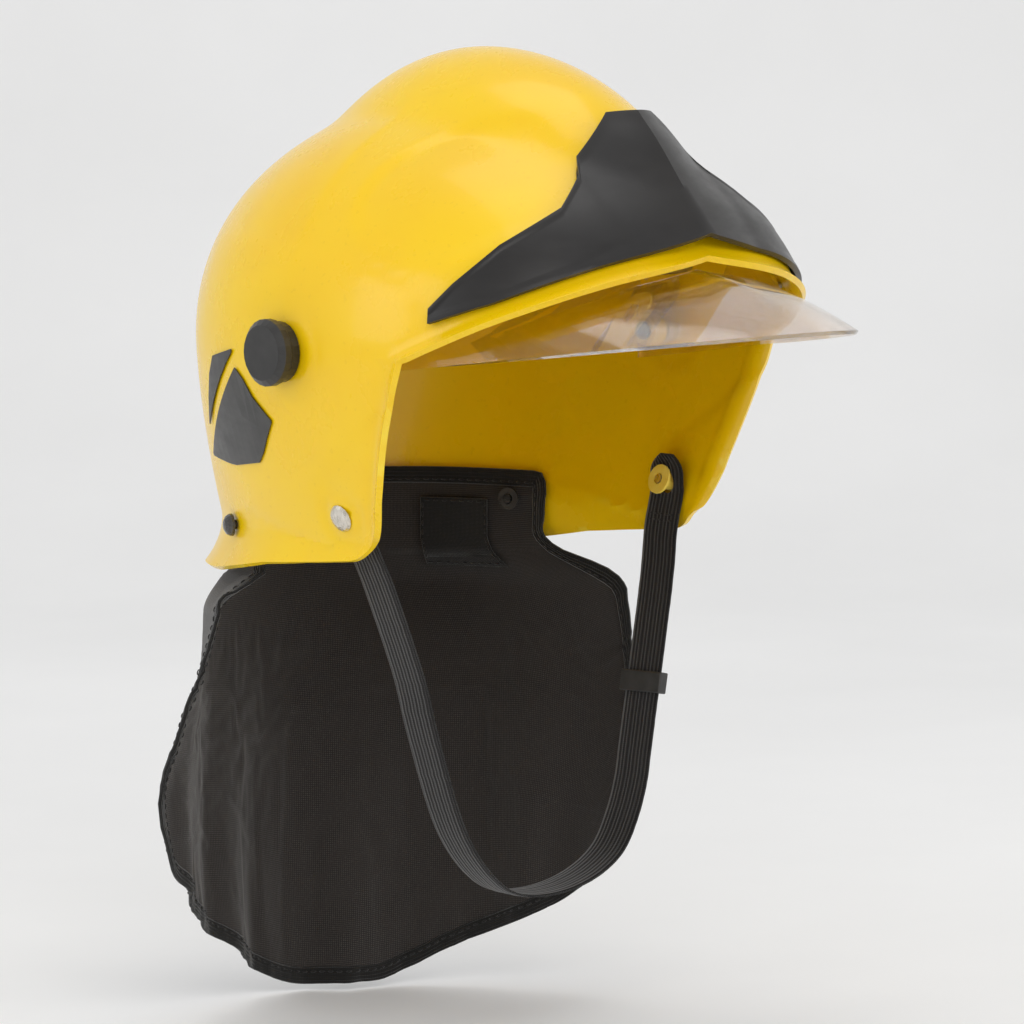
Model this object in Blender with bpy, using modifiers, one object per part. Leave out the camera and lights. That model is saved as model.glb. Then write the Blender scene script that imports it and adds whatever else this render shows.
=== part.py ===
"""Toy firefighter helmet with a clear visor, chin strap and neck curtain.

The wearer looks along -Y and up is +Z, so the wearer's right is -X.  The origin is the
middle of the head space, level with the visor hinge.  Helper functions work in
millimetres and every mesh is scaled to metres as it is made.
"""
import math

import bmesh
import bpy
from mathutils import Matrix, Vector

MM = 0.001
GAP = 0.35

# Shell
HALF_WIDTH = 108.0
FRONT_REACH = 146.5
SKIRT_FRONT = 142.0
REAR_REACH = 136.0
DOME_HEIGHT = 101.0
DOME_POWER = 2.1
FRONT_SLOPE = 0.25
CREST_HALF_WIDTH = 72.0
CREST_HEIGHT = 121.0
CREST_FRONT = 128.0
CREST_REAR = 114.0
CREST_BLEND = 3.0
WALL = 2.6
SKIRT_TAPER = 19.0
BRIM_CORNER = 57.6
BRIM_HEIGHTS = ((0.0, 40.5), (21.0, 31.5), (39.0, 18.0), (50.0, 7.5), (57.6, 0.0))
CHEEK_EDGE = ((-83.0, 68.6), (-75.0, 67.4), (-55.0, 65.2), (-34.0, 62.6), (-15.0, 59.8), (0.0, 57.6))
RIM_HEIGHTS = ((57.0, -83.0), (69.0, -83.0), (90.0, -86.5), (112.0, -90.0), (135.0, -97.0), (180.0, -101.0))
LIP = 3.0

# Visor
VISOR_HALF_WIDTH = 98.0
VISOR_REACH = 195.0
VISOR_THICKNESS = 1.8
VISOR_TOP = ((0.0, 42.5), (20.0, 40.0), (40.0, 31.0), (57.0, 18.0), (70.0, 10.0), (82.0, 8.0), (98.0, 6.5))
SHAFT_RADIUS = 4.0
HOLE_CLEARANCE = 0.35

# Fastenings, as (angle from the front, height)
RIVET = (79.0, -67.0)
STUD = (132.5, -78.5)
PLATE_SCREW = (44.0, 24.0)

# Strap
STRAP_WIDTH = 20.0
STRAP_THICKNESS = 1.5
STRAP_HOLE = 5.0

# Head cradle
BAND_HALF_WIDTH = 76.0
BAND_HALF_LENGTH = 92.0
BAND_LOW = 30.0
BAND_HIGH = 56.0
BAND_THICKNESS = 1.6

PARTS = None
CUTTERS = None


def table(pairs, value):
    """Straight-line reading of a table of (input, output) pairs."""
    if value <= pairs[0][0]:
        return pairs[0][1]
    for (a, fa), (b, fb) in zip(pairs, pairs[1:]):
        if value <= b:
            return fa + (fb - fa) * (value - a) / (b - a)
    return pairs[-1][1]


def from_front(phi):
    """Angle away from the front centre line, 0 to 180 degrees."""
    return abs((math.degrees(phi) + 180.0) % 360.0 - 180.0)


# ---------------------------------------------------------------- shell surface

def plan_radius(phi, half_width, front, rear):
    side = abs(math.sin(phi))
    ahead = math.cos(phi)
    power = 2.3 if ahead > 0 else 2.1
    reach = front if ahead > 0 else rear
    return ((side / half_width) ** power + (abs(ahead) / reach) ** power) ** (-1 / power)


def dome_radius(phi, rise):
    """Distance from the origin to the outer skin at a rise angle of 0 or more."""
    base = plan_radius(phi, HALF_WIDTH, FRONT_REACH, REAR_REACH)
    power = DOME_POWER - FRONT_SLOPE * max(0.0, math.cos(phi)) ** 0.6
    main = ((math.cos(rise) / base) ** power + (math.sin(rise) / DOME_HEIGHT) ** power) ** (-1 / power)
    length = CREST_FRONT if math.cos(phi) > 0 else CREST_REAR
    across = math.cos(rise) * math.sin(phi) / CREST_HALF_WIDTH
    along = math.cos(rise) * math.cos(phi) / length
    crest = (across ** 2 + along ** 2 + (math.sin(rise) / CREST_HEIGHT) ** 2) ** -0.5
    return 0.5 * (main + crest + math.hypot(main - crest, CREST_BLEND))


def rim_height(phi):
    return table(RIM_HEIGHTS, from_front(phi))


def skirt_radius(phi, z):
    """Plan radius of the outer skin at a height below the hinge."""
    drop = min(1.0, -z / 78.0)
    half_width = HALF_WIDTH - SKIRT_TAPER * drop ** 1.6
    front = SKIRT_FRONT - 6.0 * drop
    level = plan_radius(phi, half_width, front, REAR_REACH)
    join = dome_radius(phi, 0.0) - plan_radius(phi, HALF_WIDTH, SKIRT_FRONT, REAR_REACH)
    near_rim = max(0.0, 1.0 - (z - rim_height(phi)) / 20.0)
    rearness = min(1.0, max(0.0, (from_front(phi) - 95.0) / 45.0))
    return level + join * (1 - drop) + (2.5 + 5.5 * rearness) * near_rim ** 2


def skin_z(phi, z, out=0.0):
    """Point on the outer skin at a height, moved outwards by a distance."""
    if z >= 0.0:
        rise = 0.0
        for _ in range(12):
            rise = math.asin(min(0.9999, z / dome_radius(phi, rise)))
        radius = dome_radius(phi, rise) * math.cos(rise)
    else:
        radius = skirt_radius(phi, z)
    radius += out
    return Vector((radius * math.sin(phi), -radius * math.cos(phi), z))


def skin_rise(phi, rise, out=0.0):
    """Point on the dome at a rise angle, moved out from the origin by a distance."""
    radius = dome_radius(phi, rise) + out
    flat = radius * math.cos(rise)
    return Vector((flat * math.sin(phi), -flat * math.cos(phi), radius * math.sin(rise)))


def rise_at(phi, z):
    point = skin_z(phi, z)
    return math.atan2(point.z, math.hypot(point.x, point.y))


def skin_normal(phi, z):
    """Outward direction of the skin at a height."""
    step = 0.02
    along = skin_z(phi + step, z) - skin_z(phi - step, z)
    up = skin_z(phi, z + 1.5) - skin_z(phi, z - 1.5)
    return along.cross(up).normalized()


# ---------------------------------------------------------------- mesh helpers

def new_object(name, verts, faces, smooth=True, parts=True):
    mesh = bpy.data.meshes.new(name)
    mesh.from_pydata([tuple(v * MM) for v in verts], [], faces)
    mesh.validate()
    obj = bpy.data.objects.new(name, mesh)
    (PARTS if parts else CUTTERS).objects.link(obj)
    if smooth:
        mesh.shade_smooth()
    return obj


def face_out(obj):
    work = bmesh.new()
    work.from_mesh(obj.data)
    bmesh.ops.recalc_face_normals(work, faces=work.faces)
    work.to_mesh(obj.data)
    work.free()


def grid(name, columns, closed=False, smooth=True):
    """Open surface through columns of points, all columns the same length."""
    height = len(columns[0])
    verts = [point for column in columns for point in column]
    faces = []
    last = len(columns) if closed else len(columns) - 1
    for i in range(last):
        j = (i + 1) % len(columns)
        for k in range(height - 1):
            faces.append((i * height + k, j * height + k, j * height + k + 1, i * height + k + 1))
    return new_object(name, verts, faces, smooth)


def solidify(obj, thickness, offset):
    mod = obj.modifiers.new("thickness", "SOLIDIFY")
    mod.thickness = thickness * MM
    mod.offset = offset
    mod.use_even_offset = True
    return mod


def bevel(obj, width, segments=2, angle=40.0):
    mod = obj.modifiers.new("edge", "BEVEL")
    mod.width = width * MM
    mod.segments = segments
    mod.limit_method = "ANGLE"
    mod.angle_limit = math.radians(angle)
    return mod


def cut(obj, cutter):
    mod = obj.modifiers.new("cut_" + cutter.name, "BOOLEAN")
    mod.operation = "DIFFERENCE"
    mod.solver = "EXACT"
    mod.object = cutter
    return mod


def turned(name, profile, axis="Z", place=(0, 0, 0), direction=None, segments=24, parts=True):
    """Solid of revolution from (radius, height) points that start and end on the axis."""
    verts = [Vector((r, 0, h)) for r, h in profile]
    edges = [(i, i + 1) for i in range(len(verts) - 1)]
    mesh = bpy.data.meshes.new(name)
    mesh.from_pydata([tuple(v * MM) for v in verts], edges, [])
    obj = bpy.data.objects.new(name, mesh)
    (PARTS if parts else CUTTERS).objects.link(obj)
    screw = obj.modifiers.new("turn", "SCREW")
    screw.axis = axis
    screw.angle = math.tau
    screw.steps = segments
    screw.render_steps = segments
    screw.use_merge_vertices = True
    screw.merge_threshold = 0.00001
    screw.use_smooth_shade = True
    obj.location = Vector(place) * MM
    if direction is not None:
        obj.rotation_euler = Vector(direction).to_track_quat("Z", "Y").to_euler()
    return obj


def rod(name, start, end, radius, segments=16, parts=True):
    start = Vector(start)
    end = Vector(end)
    length = (end - start).length
    profile = ((0, length), (radius, length), (radius, 0), (0, 0))
    return turned(name, profile, place=start, direction=end - start, segments=segments, parts=parts)


def joined_cutter(name, rods):
    """One cutter holding several separate round rods, each (start, end, radius)."""
    work = bmesh.new()
    for start, end, radius in rods:
        start = Vector(start) * MM
        end = Vector(end) * MM
        turn = (end - start).to_track_quat("Z", "Y").to_matrix().to_4x4()
        place = Matrix.Translation((start + end) / 2) @ turn
        bmesh.ops.create_cone(work, cap_ends=True, segments=20, radius1=radius * MM,
                              radius2=radius * MM, depth=(end - start).length, matrix=place)
    mesh = bpy.data.meshes.new(name)
    work.to_mesh(mesh)
    work.free()
    obj = bpy.data.objects.new(name, mesh)
    CUTTERS.objects.link(obj)
    obj.hide_render = True
    obj.display_type = "WIRE"
    return obj


def material(name, colour, roughness, metallic=0.0, transmission=0.0, coat=0.0, alpha=1.0):
    mat = bpy.data.materials.new(name)
    mat.use_nodes = True
    shader = mat.node_tree.nodes["Principled BSDF"]
    shader.inputs["Base Color"].default_value = (*colour, 1.0)
    shader.inputs["Roughness"].default_value = roughness
    shader.inputs["Metallic"].default_value = metallic
    shader.inputs["Transmission Weight"].default_value = transmission
    shader.inputs["Coat Weight"].default_value = coat
    shader.inputs["Alpha"].default_value = alpha
    mat.diffuse_color = (*colour, 1.0)
    return mat


def paint(obj, mat):
    obj.data.materials.clear()
    obj.data.materials.append(mat)


# ---------------------------------------------------------------- shell

def brim_z(phi):
    return table(BRIM_HEIGHTS, from_front(phi))


def rear_azimuths(edge):
    """Angles of the skirt's columns from one cheek edge round the back to the other."""
    steps = 28
    marks = [0.0, 0.35] + list(range(1, steps)) + [steps - 0.35, steps]
    return [edge + (360.0 - 2 * edge) * mark / steps for mark in marks]


def shell_points():
    """Columns of outer-skin points: the dome above the hinge and the skirt below it."""
    front = [-BRIM_CORNER + 2 * BRIM_CORNER * i / 14 for i in range(1, 14)]
    rear = rear_azimuths(BRIM_CORNER)
    dome = []
    for degrees in rear + front:
        phi = math.radians(degrees)
        ahead = from_front(phi) <= BRIM_CORNER + 0.01
        low = brim_z(phi) if ahead else 0.0
        edge = skin_z(phi, low, LIP if ahead else 0.0)
        column = [edge, skin_z(phi, low + 2.5, 0.8 if ahead else 0.0), skin_z(phi, low + 5.5)]
        start = math.atan2(column[2].z, math.hypot(column[2].x, column[2].y))
        for k in range(1, 9):
            column.append(skin_rise(phi, start + (math.pi / 2 - start) * k / 9))
        dome.append(column)
    return dome, len(rear)


def skirt_points():
    fractions = (0.16, 0.36, 0.56, 0.74, 0.85, 0.93, 1.0)
    rows = []
    for fraction in fractions:
        edge = table(CHEEK_EDGE, -83.0 * fraction)
        azimuths = rear_azimuths(edge)
        row = []
        for i, degrees in enumerate(azimuths):
            phi = math.radians(degrees)
            z = rim_height(phi) * fraction
            from_edge = min(i, len(azimuths) - 1 - i)
            lip = (LIP, 0.9, 0.0)[min(2, from_edge)] if fraction < 0.9 else 0.0
            if fraction == 1.0:
                z += (8.0, 3.2, 0.4)[from_edge] if from_edge < 3 else 0.0
            elif fraction == 0.93:
                z += (4.0, 1.2, 0.0)[from_edge] if from_edge < 3 else 0.0
            row.append(skin_z(phi, z, lip * (1 - max(0.0, fraction - 0.7))))
        rows.append(row)
    return rows


def make_shell():
    dome, rear_count = shell_points()
    height = len(dome[0])
    verts = [point for column in dome for point in column]
    faces = []
    for i in range(len(dome)):
        j = (i + 1) % len(dome)
        for k in range(height - 1):
            faces.append((i * height + k, j * height + k, j * height + k + 1, i * height + k + 1))
    top = len(verts)
    verts.append(skin_rise(0.0, math.pi / 2))
    for i in range(len(dome)):
        j = (i + 1) % len(dome)
        faces.append((i * height + height - 1, j * height + height - 1, top))
    above = [i * height for i in range(rear_count)]
    for row in skirt_points():
        below = list(range(len(verts), len(verts) + len(row)))
        verts.extend(row)
        for i in range(len(row) - 1):
            faces.append((below[i], below[i + 1], above[i + 1], above[i]))
        above = below
    shell = new_object("shell", verts, faces)
    face_out(shell)
    solidify(shell, WALL, -1)
    holes = []
    for side in (-1, 1):
        holes.append((Vector((side * 90, 0, 0)), Vector((side * 120, 0, 0)), SHAFT_RADIUS + HOLE_CLEARANCE))
        for place in (RIVET, STUD):
            spot, out = fixing(side, place)
            holes.append((spot - out * 12, spot + out * 12, 2.0 + HOLE_CLEARANCE))
        spot, out = fixing(side, PLATE_SCREW)
        holes.append((spot - out * 9, spot + out * 2.0, 1.5 + HOLE_CLEARANCE))
    cut(shell, joined_cutter("shell_hole_cutter", holes))
    paint(shell, material("yellow_shell", (0.93, 0.66, 0.0), 0.22, coat=0.6))
    return shell


def fixing(side, place):
    """Point on the skin and its outward direction for a fastening; side is -1 or 1."""
    phi = math.radians(place[0]) * side
    return skin_z(phi, place[1]), skin_normal(phi, place[1])


# ---------------------------------------------------------------- front plate and decals

PLATE_TOP = ((0.0, 46.4), (8.0, 47.6), (18.6, 40.0), (19.8, 35.4), (26.0, 27.6), (38.4, 20.8), (47.0, 14.0), (51.5, 9.6))


def prow(point):
    return 6.0 * max(0.0, 1.0 - abs(point.x) / 32.0) ** 1.15


def make_front_plate():
    half = (0.0, 4.0, 8.0, 13.0, 18.6, 19.8, 23.0, 26.0, 32.0, 38.4, 43.0, 47.0, 51.5)
    angles = [-a for a in reversed(half[1:])] + list(half)
    thickness = 2.3
    columns = []
    for degrees in angles:
        phi = math.radians(degrees)
        low = rise_at(phi, brim_z(phi) + 5.8 + max(0.0, abs(degrees) - 40) * 0.25)
        high = max(low + 0.02, math.radians(table(PLATE_TOP, abs(degrees))))
        column = []
        for k in range(6):
            rise = low + (high - low) * k / 5
            out = GAP + thickness + 0.5
            point = skin_rise(phi, rise, out)
            column.append(skin_rise(phi, rise, out + prow(point)))
        columns.append(column)
    plate = grid("front_plate", columns)
    face_out(plate)
    turn_out(plate, Vector((0, 0, 0)))
    solidify(plate, thickness, -1)
    pockets = []
    for side in (-1, 1):
        spot, out = fixing(side, PLATE_SCREW)
        pockets.append((spot - out * 1.0, spot + out * 1.9, 1.5 + HOLE_CLEARANCE))
    cut(plate, joined_cutter("plate_pocket_cutter", pockets))
    paint(plate, material("black_plate", (0.012, 0.011, 0.011), 0.42, coat=0.15))
    return plate


def turn_out(obj, centre):
    """Make an open sheet face away from a centre."""
    mesh = obj.data
    total = 0.0
    for face in mesh.polygons:
        total += (face.center - centre * MM).dot(face.normal) * face.area
    if total < 0:
        mesh.flip_normals()


def decal(name, side, low, high, first, last, steps, mat):
    """Thin sticker on the skirt between two height tables over a range of angles."""
    columns = []
    for i in range(steps + 1):
        degrees = first + (last - first) * i / steps
        bottom = table(low, degrees)
        top = max(bottom + 0.8, table(high, degrees))
        phi = math.radians(degrees) * side
        columns.append([skin_z(phi, bottom + (top - bottom) * k / 2, GAP + 0.6) for k in range(3)])
    sheet = grid(name, columns)
    turn_out(sheet, Vector((0, 0, -20)))
    solidify(sheet, 0.4, -1)
    paint(sheet, mat)
    return sheet


def make_decals():
    mat = material("decal_black", (0.015, 0.014, 0.014), 0.5)
    panel_low = ((97.0, -30.0), (105.0, -47.5), (119.0, -51.0), (133.0, -49.5))
    panel_high = ((97.0, -29.0), (105.0, -17.0), (107.6, -6.6), (122.0, -30.0), (133.0, -48.5))
    fin_low = ((109.5, -2.0), (130.0, -35.8))
    fin_high = ((109.5, -1.2), (121.0, -6.0), (130.0, -35.0))
    for side, word in ((-1, "right"), (1, "left")):
        decal("panel_decal_" + word, side, panel_low, panel_high, 97.0, 133.0, 12, mat)
        decal("fin_decal_" + word, side, fin_low, fin_high, 110.0, 130.0, 6, mat)


# ---------------------------------------------------------------- visor

def visor_low(phi):
    flat = ((math.sin(phi) / VISOR_HALF_WIDTH) ** 2 + (math.cos(phi) / VISOR_REACH) ** 2) ** -0.5
    ahead = flat * math.cos(phi)
    return flat, -3.4 + (ahead - 68.0) * 0.134


def inside_rise(phi, rise):
    """Distance from the origin to the visor's face inside the dome."""
    return dome_radius(phi, max(0.0, rise)) - WALL - 4.6


def make_visor():
    half = [0, 7, 14, 21, 28, 35, 42, 49, 56, 62, 70, 80, 90, 97]
    angles = [-a for a in reversed(half[1:])] + half
    columns = []
    for degrees in angles:
        phi = math.radians(degrees)
        flat, low_z = visor_low(phi)
        low = math.atan2(low_z, flat)
        start = math.hypot(flat, low_z)
        high = math.radians(table(VISOR_TOP, abs(degrees)))
        meet = min(high * 0.75, rise_at(phi, max(0.0, brim_z(phi) - 4.0)))
        meet = max(meet, low + 0.06)
        side_limit = ((math.sin(phi) / VISOR_HALF_WIDTH) ** 2 + (math.cos(phi) / VISOR_REACH) ** 2) ** -0.5
        column = []
        for k in range(2):
            share = k / 2
            rise = low + (meet - low) * share
            radius = start + (min(inside_rise(phi, meet), side_limit) - start) * share
            column.append(polar(phi, rise, radius))
        for k in range(6):
            rise = meet + (high - meet) * k / 5
            column.append(polar(phi, rise, min(inside_rise(phi, rise), side_limit / math.cos(rise))))
        columns.append(column)
    visor = grid("visor", columns)
    turn_out(visor, Vector((0, 0, 0)))
    solidify(visor, VISOR_THICKNESS, -1)
    rods = []
    for side in (-1, 1):
        rods.append((Vector((side * 85, 0, 0)), Vector((side * 107, 0, 0)), SHAFT_RADIUS + HOLE_CLEARANCE))
    cut(visor, joined_cutter("visor_hole_cutter", rods))
    paint(visor, material("clear_visor", (1.0, 0.86, 0.74), 0.06, transmission=0.95, alpha=0.45))
    return visor


def polar(phi, rise, radius):
    flat = radius * math.cos(rise)
    return Vector((flat * math.sin(phi), -flat * math.cos(phi), radius * math.sin(rise)))


def make_pivots():
    black = material("black_knob", (0.014, 0.013, 0.013), 0.3, coat=0.3)
    ring = material("yellow_boss", (0.9, 0.62, 0.0), 0.35)
    spacer_mat = material("spacer_nylon", (0.75, 0.72, 0.66), 0.5)
    inner = VISOR_HALF_WIDTH - VISOR_THICKNESS
    for side, word in ((-1, "right"), (1, "left")):
        out = Vector((side, 0, 0))
        face = 119.5
        rim = 109.4
        shaft_end = 88.0
        profile = ((0, face), (11.2, face), (13.6, face - 2.2), (13.6, face - 5.2), (12.4, face - 6.4),
                   (12.4, rim), (SHAFT_RADIUS, rim), (SHAFT_RADIUS, shaft_end), (0, shaft_end))
        knob = turned("visor_knob_" + word, profile, direction=out, segments=24)
        sharpen(knob)
        paint(knob, black)
        washer("pivot_nut_" + word, side, 7.5, SHAFT_RADIUS + GAP, 89.0, inner - 0.5, ring)
        washer("pivot_spacer_" + word, side, 6.5, SHAFT_RADIUS + GAP, VISOR_HALF_WIDTH + 0.5, 104.6, spacer_mat)


def sharpen(obj, angle=35.0):
    obj.data.set_sharp_from_angle(angle=math.radians(angle))
    obj.modifiers["turn"].use_smooth_shade = True


def washer(name, side, outer, inner, near, far, mat):
    """Ring round the hinge axis between two distances from the middle."""
    verts = []
    faces = []
    steps = 20
    for i in range(steps):
        turn = math.tau * i / steps
        for radius, x in ((inner, near), (outer, near), (outer, far), (inner, far)):
            verts.append(Vector((side * x, radius * math.cos(turn), radius * math.sin(turn))))
    for i in range(steps):
        j = (i + 1) % steps
        for k in range(4):
            n = (k + 1) % 4
            faces.append((i * 4 + k, j * 4 + k, j * 4 + n, i * 4 + n))
    obj = new_object(name, verts, faces, smooth=True)
    face_out(obj)
    obj.data.set_sharp_from_angle(angle=math.radians(35))
    paint(obj, mat)
    return obj


# ---------------------------------------------------------------- rivets, studs, screws

def button(name, side, place, profile, mat, segments=16):
    """Turned fastening whose axis is square to the skin; height 0 is on the skin."""
    spot, out = fixing(side, place)
    obj = turned(name, profile, place=spot, direction=out, segments=segments)
    paint(obj, mat)
    return obj


def make_fastenings():
    nickel = material("nickel", (0.72, 0.70, 0.66), 0.22, metallic=1.0)
    black = material("black_stud", (0.014, 0.013, 0.013), 0.28, coat=0.3)
    boss = material("yellow_peg", (0.9, 0.6, 0.0), 0.35)
    steel = material("screw_steel", (0.6, 0.59, 0.57), 0.3, metallic=1.0)
    for side, word in ((-1, "right"), (1, "left")):
        button("strap_rivet_" + word, side, RIVET,
               ((0, 2.6), (3.0, 2.45), (4.8, 1.7), (5.8, 0.65), (5.8, 0.45), (2.0, 0.45), (2.0, -12.7), (0, -12.7)), nickel)
        button("curtain_stud_" + word, side, STUD,
               ((0, 5.8), (2.2, 5.5), (3.9, 4.5), (4.7, 3.1), (4.8, 2.0), (2.0, 2.0), (2.0, -8.2), (0, -8.2)), black)
        button("plate_screw_" + word, side, PLATE_SCREW,
               ((0, 1.6), (1.5, 1.6), (1.5, -4.6), (3.2, -4.6), (3.2, -5.6), (2.1, -6.2), (0, -6.4)), steel)
        bushing("strap_boss_" + word, side, RIVET, 3.3, 2.35, -3.6, -10.6, boss)
        bushing("strap_cap_" + word, side, RIVET, 6.4, 2.35, -11.0, -12.2, boss)
        bushing("stud_washer_" + word, side, STUD, 5.0, 2.35, -6.2, -7.4, black)


def bushing(name, side, place, outer, inner, top, bottom, mat):
    """Ring on a fastening's shank between two heights above the skin."""
    spot, out = fixing(side, place)
    turn = out.to_track_quat("Z", "Y").to_matrix()
    steps = 16
    verts = []
    faces = []
    for i in range(steps):
        angle = math.tau * i / steps
        for radius, height in ((inner, top), (outer, top), (outer, bottom), (inner, bottom)):
            local = Vector((radius * math.cos(angle), radius * math.sin(angle), height))
            verts.append(spot + turn @ local)
    for i in range(steps):
        j = (i + 1) % steps
        for k in range(4):
            n = (k + 1) % 4
            faces.append((i * 4 + k, j * 4 + k, j * 4 + n, i * 4 + n))
    obj = new_object(name, verts, faces)
    face_out(obj)
    obj.data.set_sharp_from_angle(angle=math.radians(35))
    paint(obj, mat)
    return obj


# ---------------------------------------------------------------- chin strap

STRAP_RUN = ((-81, 18.4, -82), (-74, 19, -97), (-60.4, 20.5, -133), (-54, 21.5, -157), (-45, 23, -187), (-37.4, 24, -205),
             (-26, 25, -220), (-12, 25.5, -229), (9, 25.5, -231), (30, 25, -227), (46, 24.5, -218), (55, 24, -204),
             (60.6, 23.2, -190), (63.4, 22.6, -177), (66.2, 22, -164), (69.1, 21.4, -151), (71.9, 20.8, -138),
             (74.7, 20.2, -125), (77.5, 19.6, -112), (80, 18.9, -99), (82, 18.4, -84))
SLIDER_STATION = (69.5, 21.3, -149.0)


def strap_line():
    """Middle of the strap from above the right peg, under the chin, to above the left peg."""
    ends = []
    for side in (-1, 1):
        spot, out = fixing(side, RIVET)
        peg = spot - out * 7.2
        ends.append([peg + Vector((0, 0, rise)) for rise in (12.0, 9.0, 5.0, 0.0, -5.0)])
    run = [Vector((x, -ahead, z)) for x, ahead, z in STRAP_RUN]
    return ends[0] + run + list(reversed(ends[1]))


def make_strap():
    line = strap_line()
    columns = []
    for i, point in enumerate(line):
        before = line[max(0, i - 1)]
        after = line[min(len(line) - 1, i + 1)]
        along = (after - before).normalized()
        across = Vector((0, 1, 0)) - along * along.y
        across.normalize()
        from_end = min(i, len(line) - 1 - i)
        half = STRAP_WIDTH / 2 * (0.42, 0.66, 0.86, 0.97)[from_end] if from_end < 4 else STRAP_WIDTH / 2
        columns.append([point - across * half, point, point + across * half])
    strap = grid("chin_strap", columns)
    solidify(strap, STRAP_THICKNESS, 0)
    rods = []
    for side in (-1, 1):
        spot, out = fixing(side, RIVET)
        peg = spot - out * 7.2
        rods.append((peg - Vector((3, 0, 0)), peg + Vector((3, 0, 0)), STRAP_HOLE))
    cut(strap, joined_cutter("strap_hole_cutter", rods))
    spot, out = fixing(1, RIVET)
    peg = spot - out * 7.2
    move_origin(strap, Vector((0, peg.y, peg.z)))
    paint(strap, material("black_webbing", (0.02, 0.019, 0.018), 0.85))
    return strap


def move_origin(obj, place):
    """Put an object's origin at a point without moving its mesh."""
    obj.data.transform(Matrix.Translation(-Vector(place) * MM))
    obj.location = Vector(place) * MM


def make_slider():
    """Plastic frame round the strap's left run."""
    station = Vector((SLIDER_STATION[0], -SLIDER_STATION[1], SLIDER_STATION[2]))
    along = Vector((2.82, 0.6, 13.0)).normalized()
    across = (Vector((0, 1, 0)) - along * along.y).normalized()
    out = across.cross(along).normalized()
    turn = Matrix((across, out, along)).transposed().to_4x4()
    bpy.ops.mesh.primitive_cube_add(size=1)
    slider = bpy.context.active_object
    slider.name = "strap_slider"
    move_to(slider, PARTS)
    slider.data.transform(Matrix.Diagonal((STRAP_WIDTH * MM + 5 * MM, 4.6 * MM, 9 * MM, 1)))
    slider.matrix_world = Matrix.Translation(station * MM) @ turn
    bpy.ops.mesh.primitive_cube_add(size=1)
    slot = bpy.context.active_object
    slot.name = "slider_slot_cutter"
    move_to(slot, CUTTERS)
    slot.data.transform(Matrix.Diagonal((STRAP_WIDTH * MM + 0.9 * MM, 2.3 * MM, 14 * MM, 1)))
    slot.matrix_world = slider.matrix_world.copy()
    slot.hide_render = True
    slot.display_type = "WIRE"
    cut(slider, slot)
    bevel(slider, 0.5, 1)
    paint(slider, material("black_slider", (0.016, 0.015, 0.015), 0.45))
    return slider


def move_to(obj, collection):
    for held in list(obj.users_collection):
        held.objects.unlink(obj)
    collection.objects.link(obj)


# ---------------------------------------------------------------- neck curtain

CURTAIN_SPREAD = 53.0
CURTAIN_TOP = -72.0
CURTAIN_THICKNESS = 0.8
CURTAIN_SEAT = 4.4
BINDING_WIDTH = 6.5
# Plan position (x, distance ahead) at a height, for five lines from the right edge to the left.
CURTAIN_LINES = (
    ((-212, -105, -80), (-195, -105, -81), (-164, -101, -76), (-136, -94, -70), (-118, -92, -66)),
    ((-292, -62, -108), (-195, -64, -110), (-118, -61, -112)),
    ((-292, -10, -122), (-195, -8, -127), (-118, 0, -130)),
    ((-292, 56, -84), (-195, 61, -90), (-150, 63, -96), (-118, 62, -108)),
    ((-212, 94, -24), (-195, 96, -22), (-158, 97, -20), (-120, 92, -20), (-107, 88, -27), (-100, 86, -36)),
)
CURTAIN_HEM = ((-1.0, -200), (-0.95, -217), (-0.85, -228), (-0.68, -242), (-0.42, -258), (-0.18, -275), (0.08, -286),
               (0.25, -286), (0.37, -280), (0.43, -275), (0.62, -263), (0.73, -256), (0.85, -246), (0.94, -233),
               (1.0, -208))


def seat_point(share, z):
    """Curtain point against the shell's inner wall; share runs from -1 (right) to 1 (left)."""
    phi = math.pi + math.radians(CURTAIN_SPREAD) * share
    radius = skirt_radius(phi, max(z, -77.0)) - CURTAIN_SEAT
    return Vector((-radius * math.sin(phi), -radius * math.cos(phi), z))


def free_point(share, z):
    """Curtain point where it hangs clear of the shell."""
    spot = (share + 1) * 2
    first = min(3, int(spot))
    t = spot - first
    marks = []
    for n in (first - 1, first, first + 1, first + 2):
        line = CURTAIN_LINES[min(4, max(0, n))]
        marks.append(Vector((table([(h, x) for h, x, _ in line], z), -table([(h, a) for h, _, a in line], z), z)))
    a, b, c, d = marks
    if first == 0:
        a = b * 2 - c
    if first == 3:
        d = c * 2 - b
    return 0.5 * (2 * b + (c - a) * t + (2 * a - 5 * b + 4 * c - d) * t ** 2 + (3 * b - a - 3 * c + d) * t ** 3)


def curtain_point(share, z):
    seated = seat_point(share, z)
    phi = math.atan2(seated.x, -seated.y)
    rim = rim_height(phi)
    release = min(1.0, max(0.0, (rim + 3 - z) / 24.0))
    release = release * release * (3 - 2 * release)
    point = seated.lerp(free_point(share, z), release)
    point.z = z
    return keep_inside(point)


def keep_inside(point, spare=0.0):
    """Pull a point in towards the axis until it clears the shell's wall and rim."""
    flat = math.hypot(point.x, point.y)
    phi = math.atan2(point.x, -point.y)
    level = max(point.z, -77.0)
    limit = skirt_radius(phi, level) - CURTAIN_SEAT - spare + 1.4 * max(0.0, rim_height(phi) - point.z - 3.5)
    if flat > limit:
        point.x *= limit / flat
        point.y *= limit / flat
    return point


def curtain_out(share, z):
    step = curtain_point(share + 0.02, z) - curtain_point(share - 0.02, z)
    down = curtain_point(share, z - 1) - curtain_point(share, z + 1)
    out = step.cross(down).normalized()
    return out if out.dot(Vector((0, 1, 0))) > 0 else -out


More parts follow.
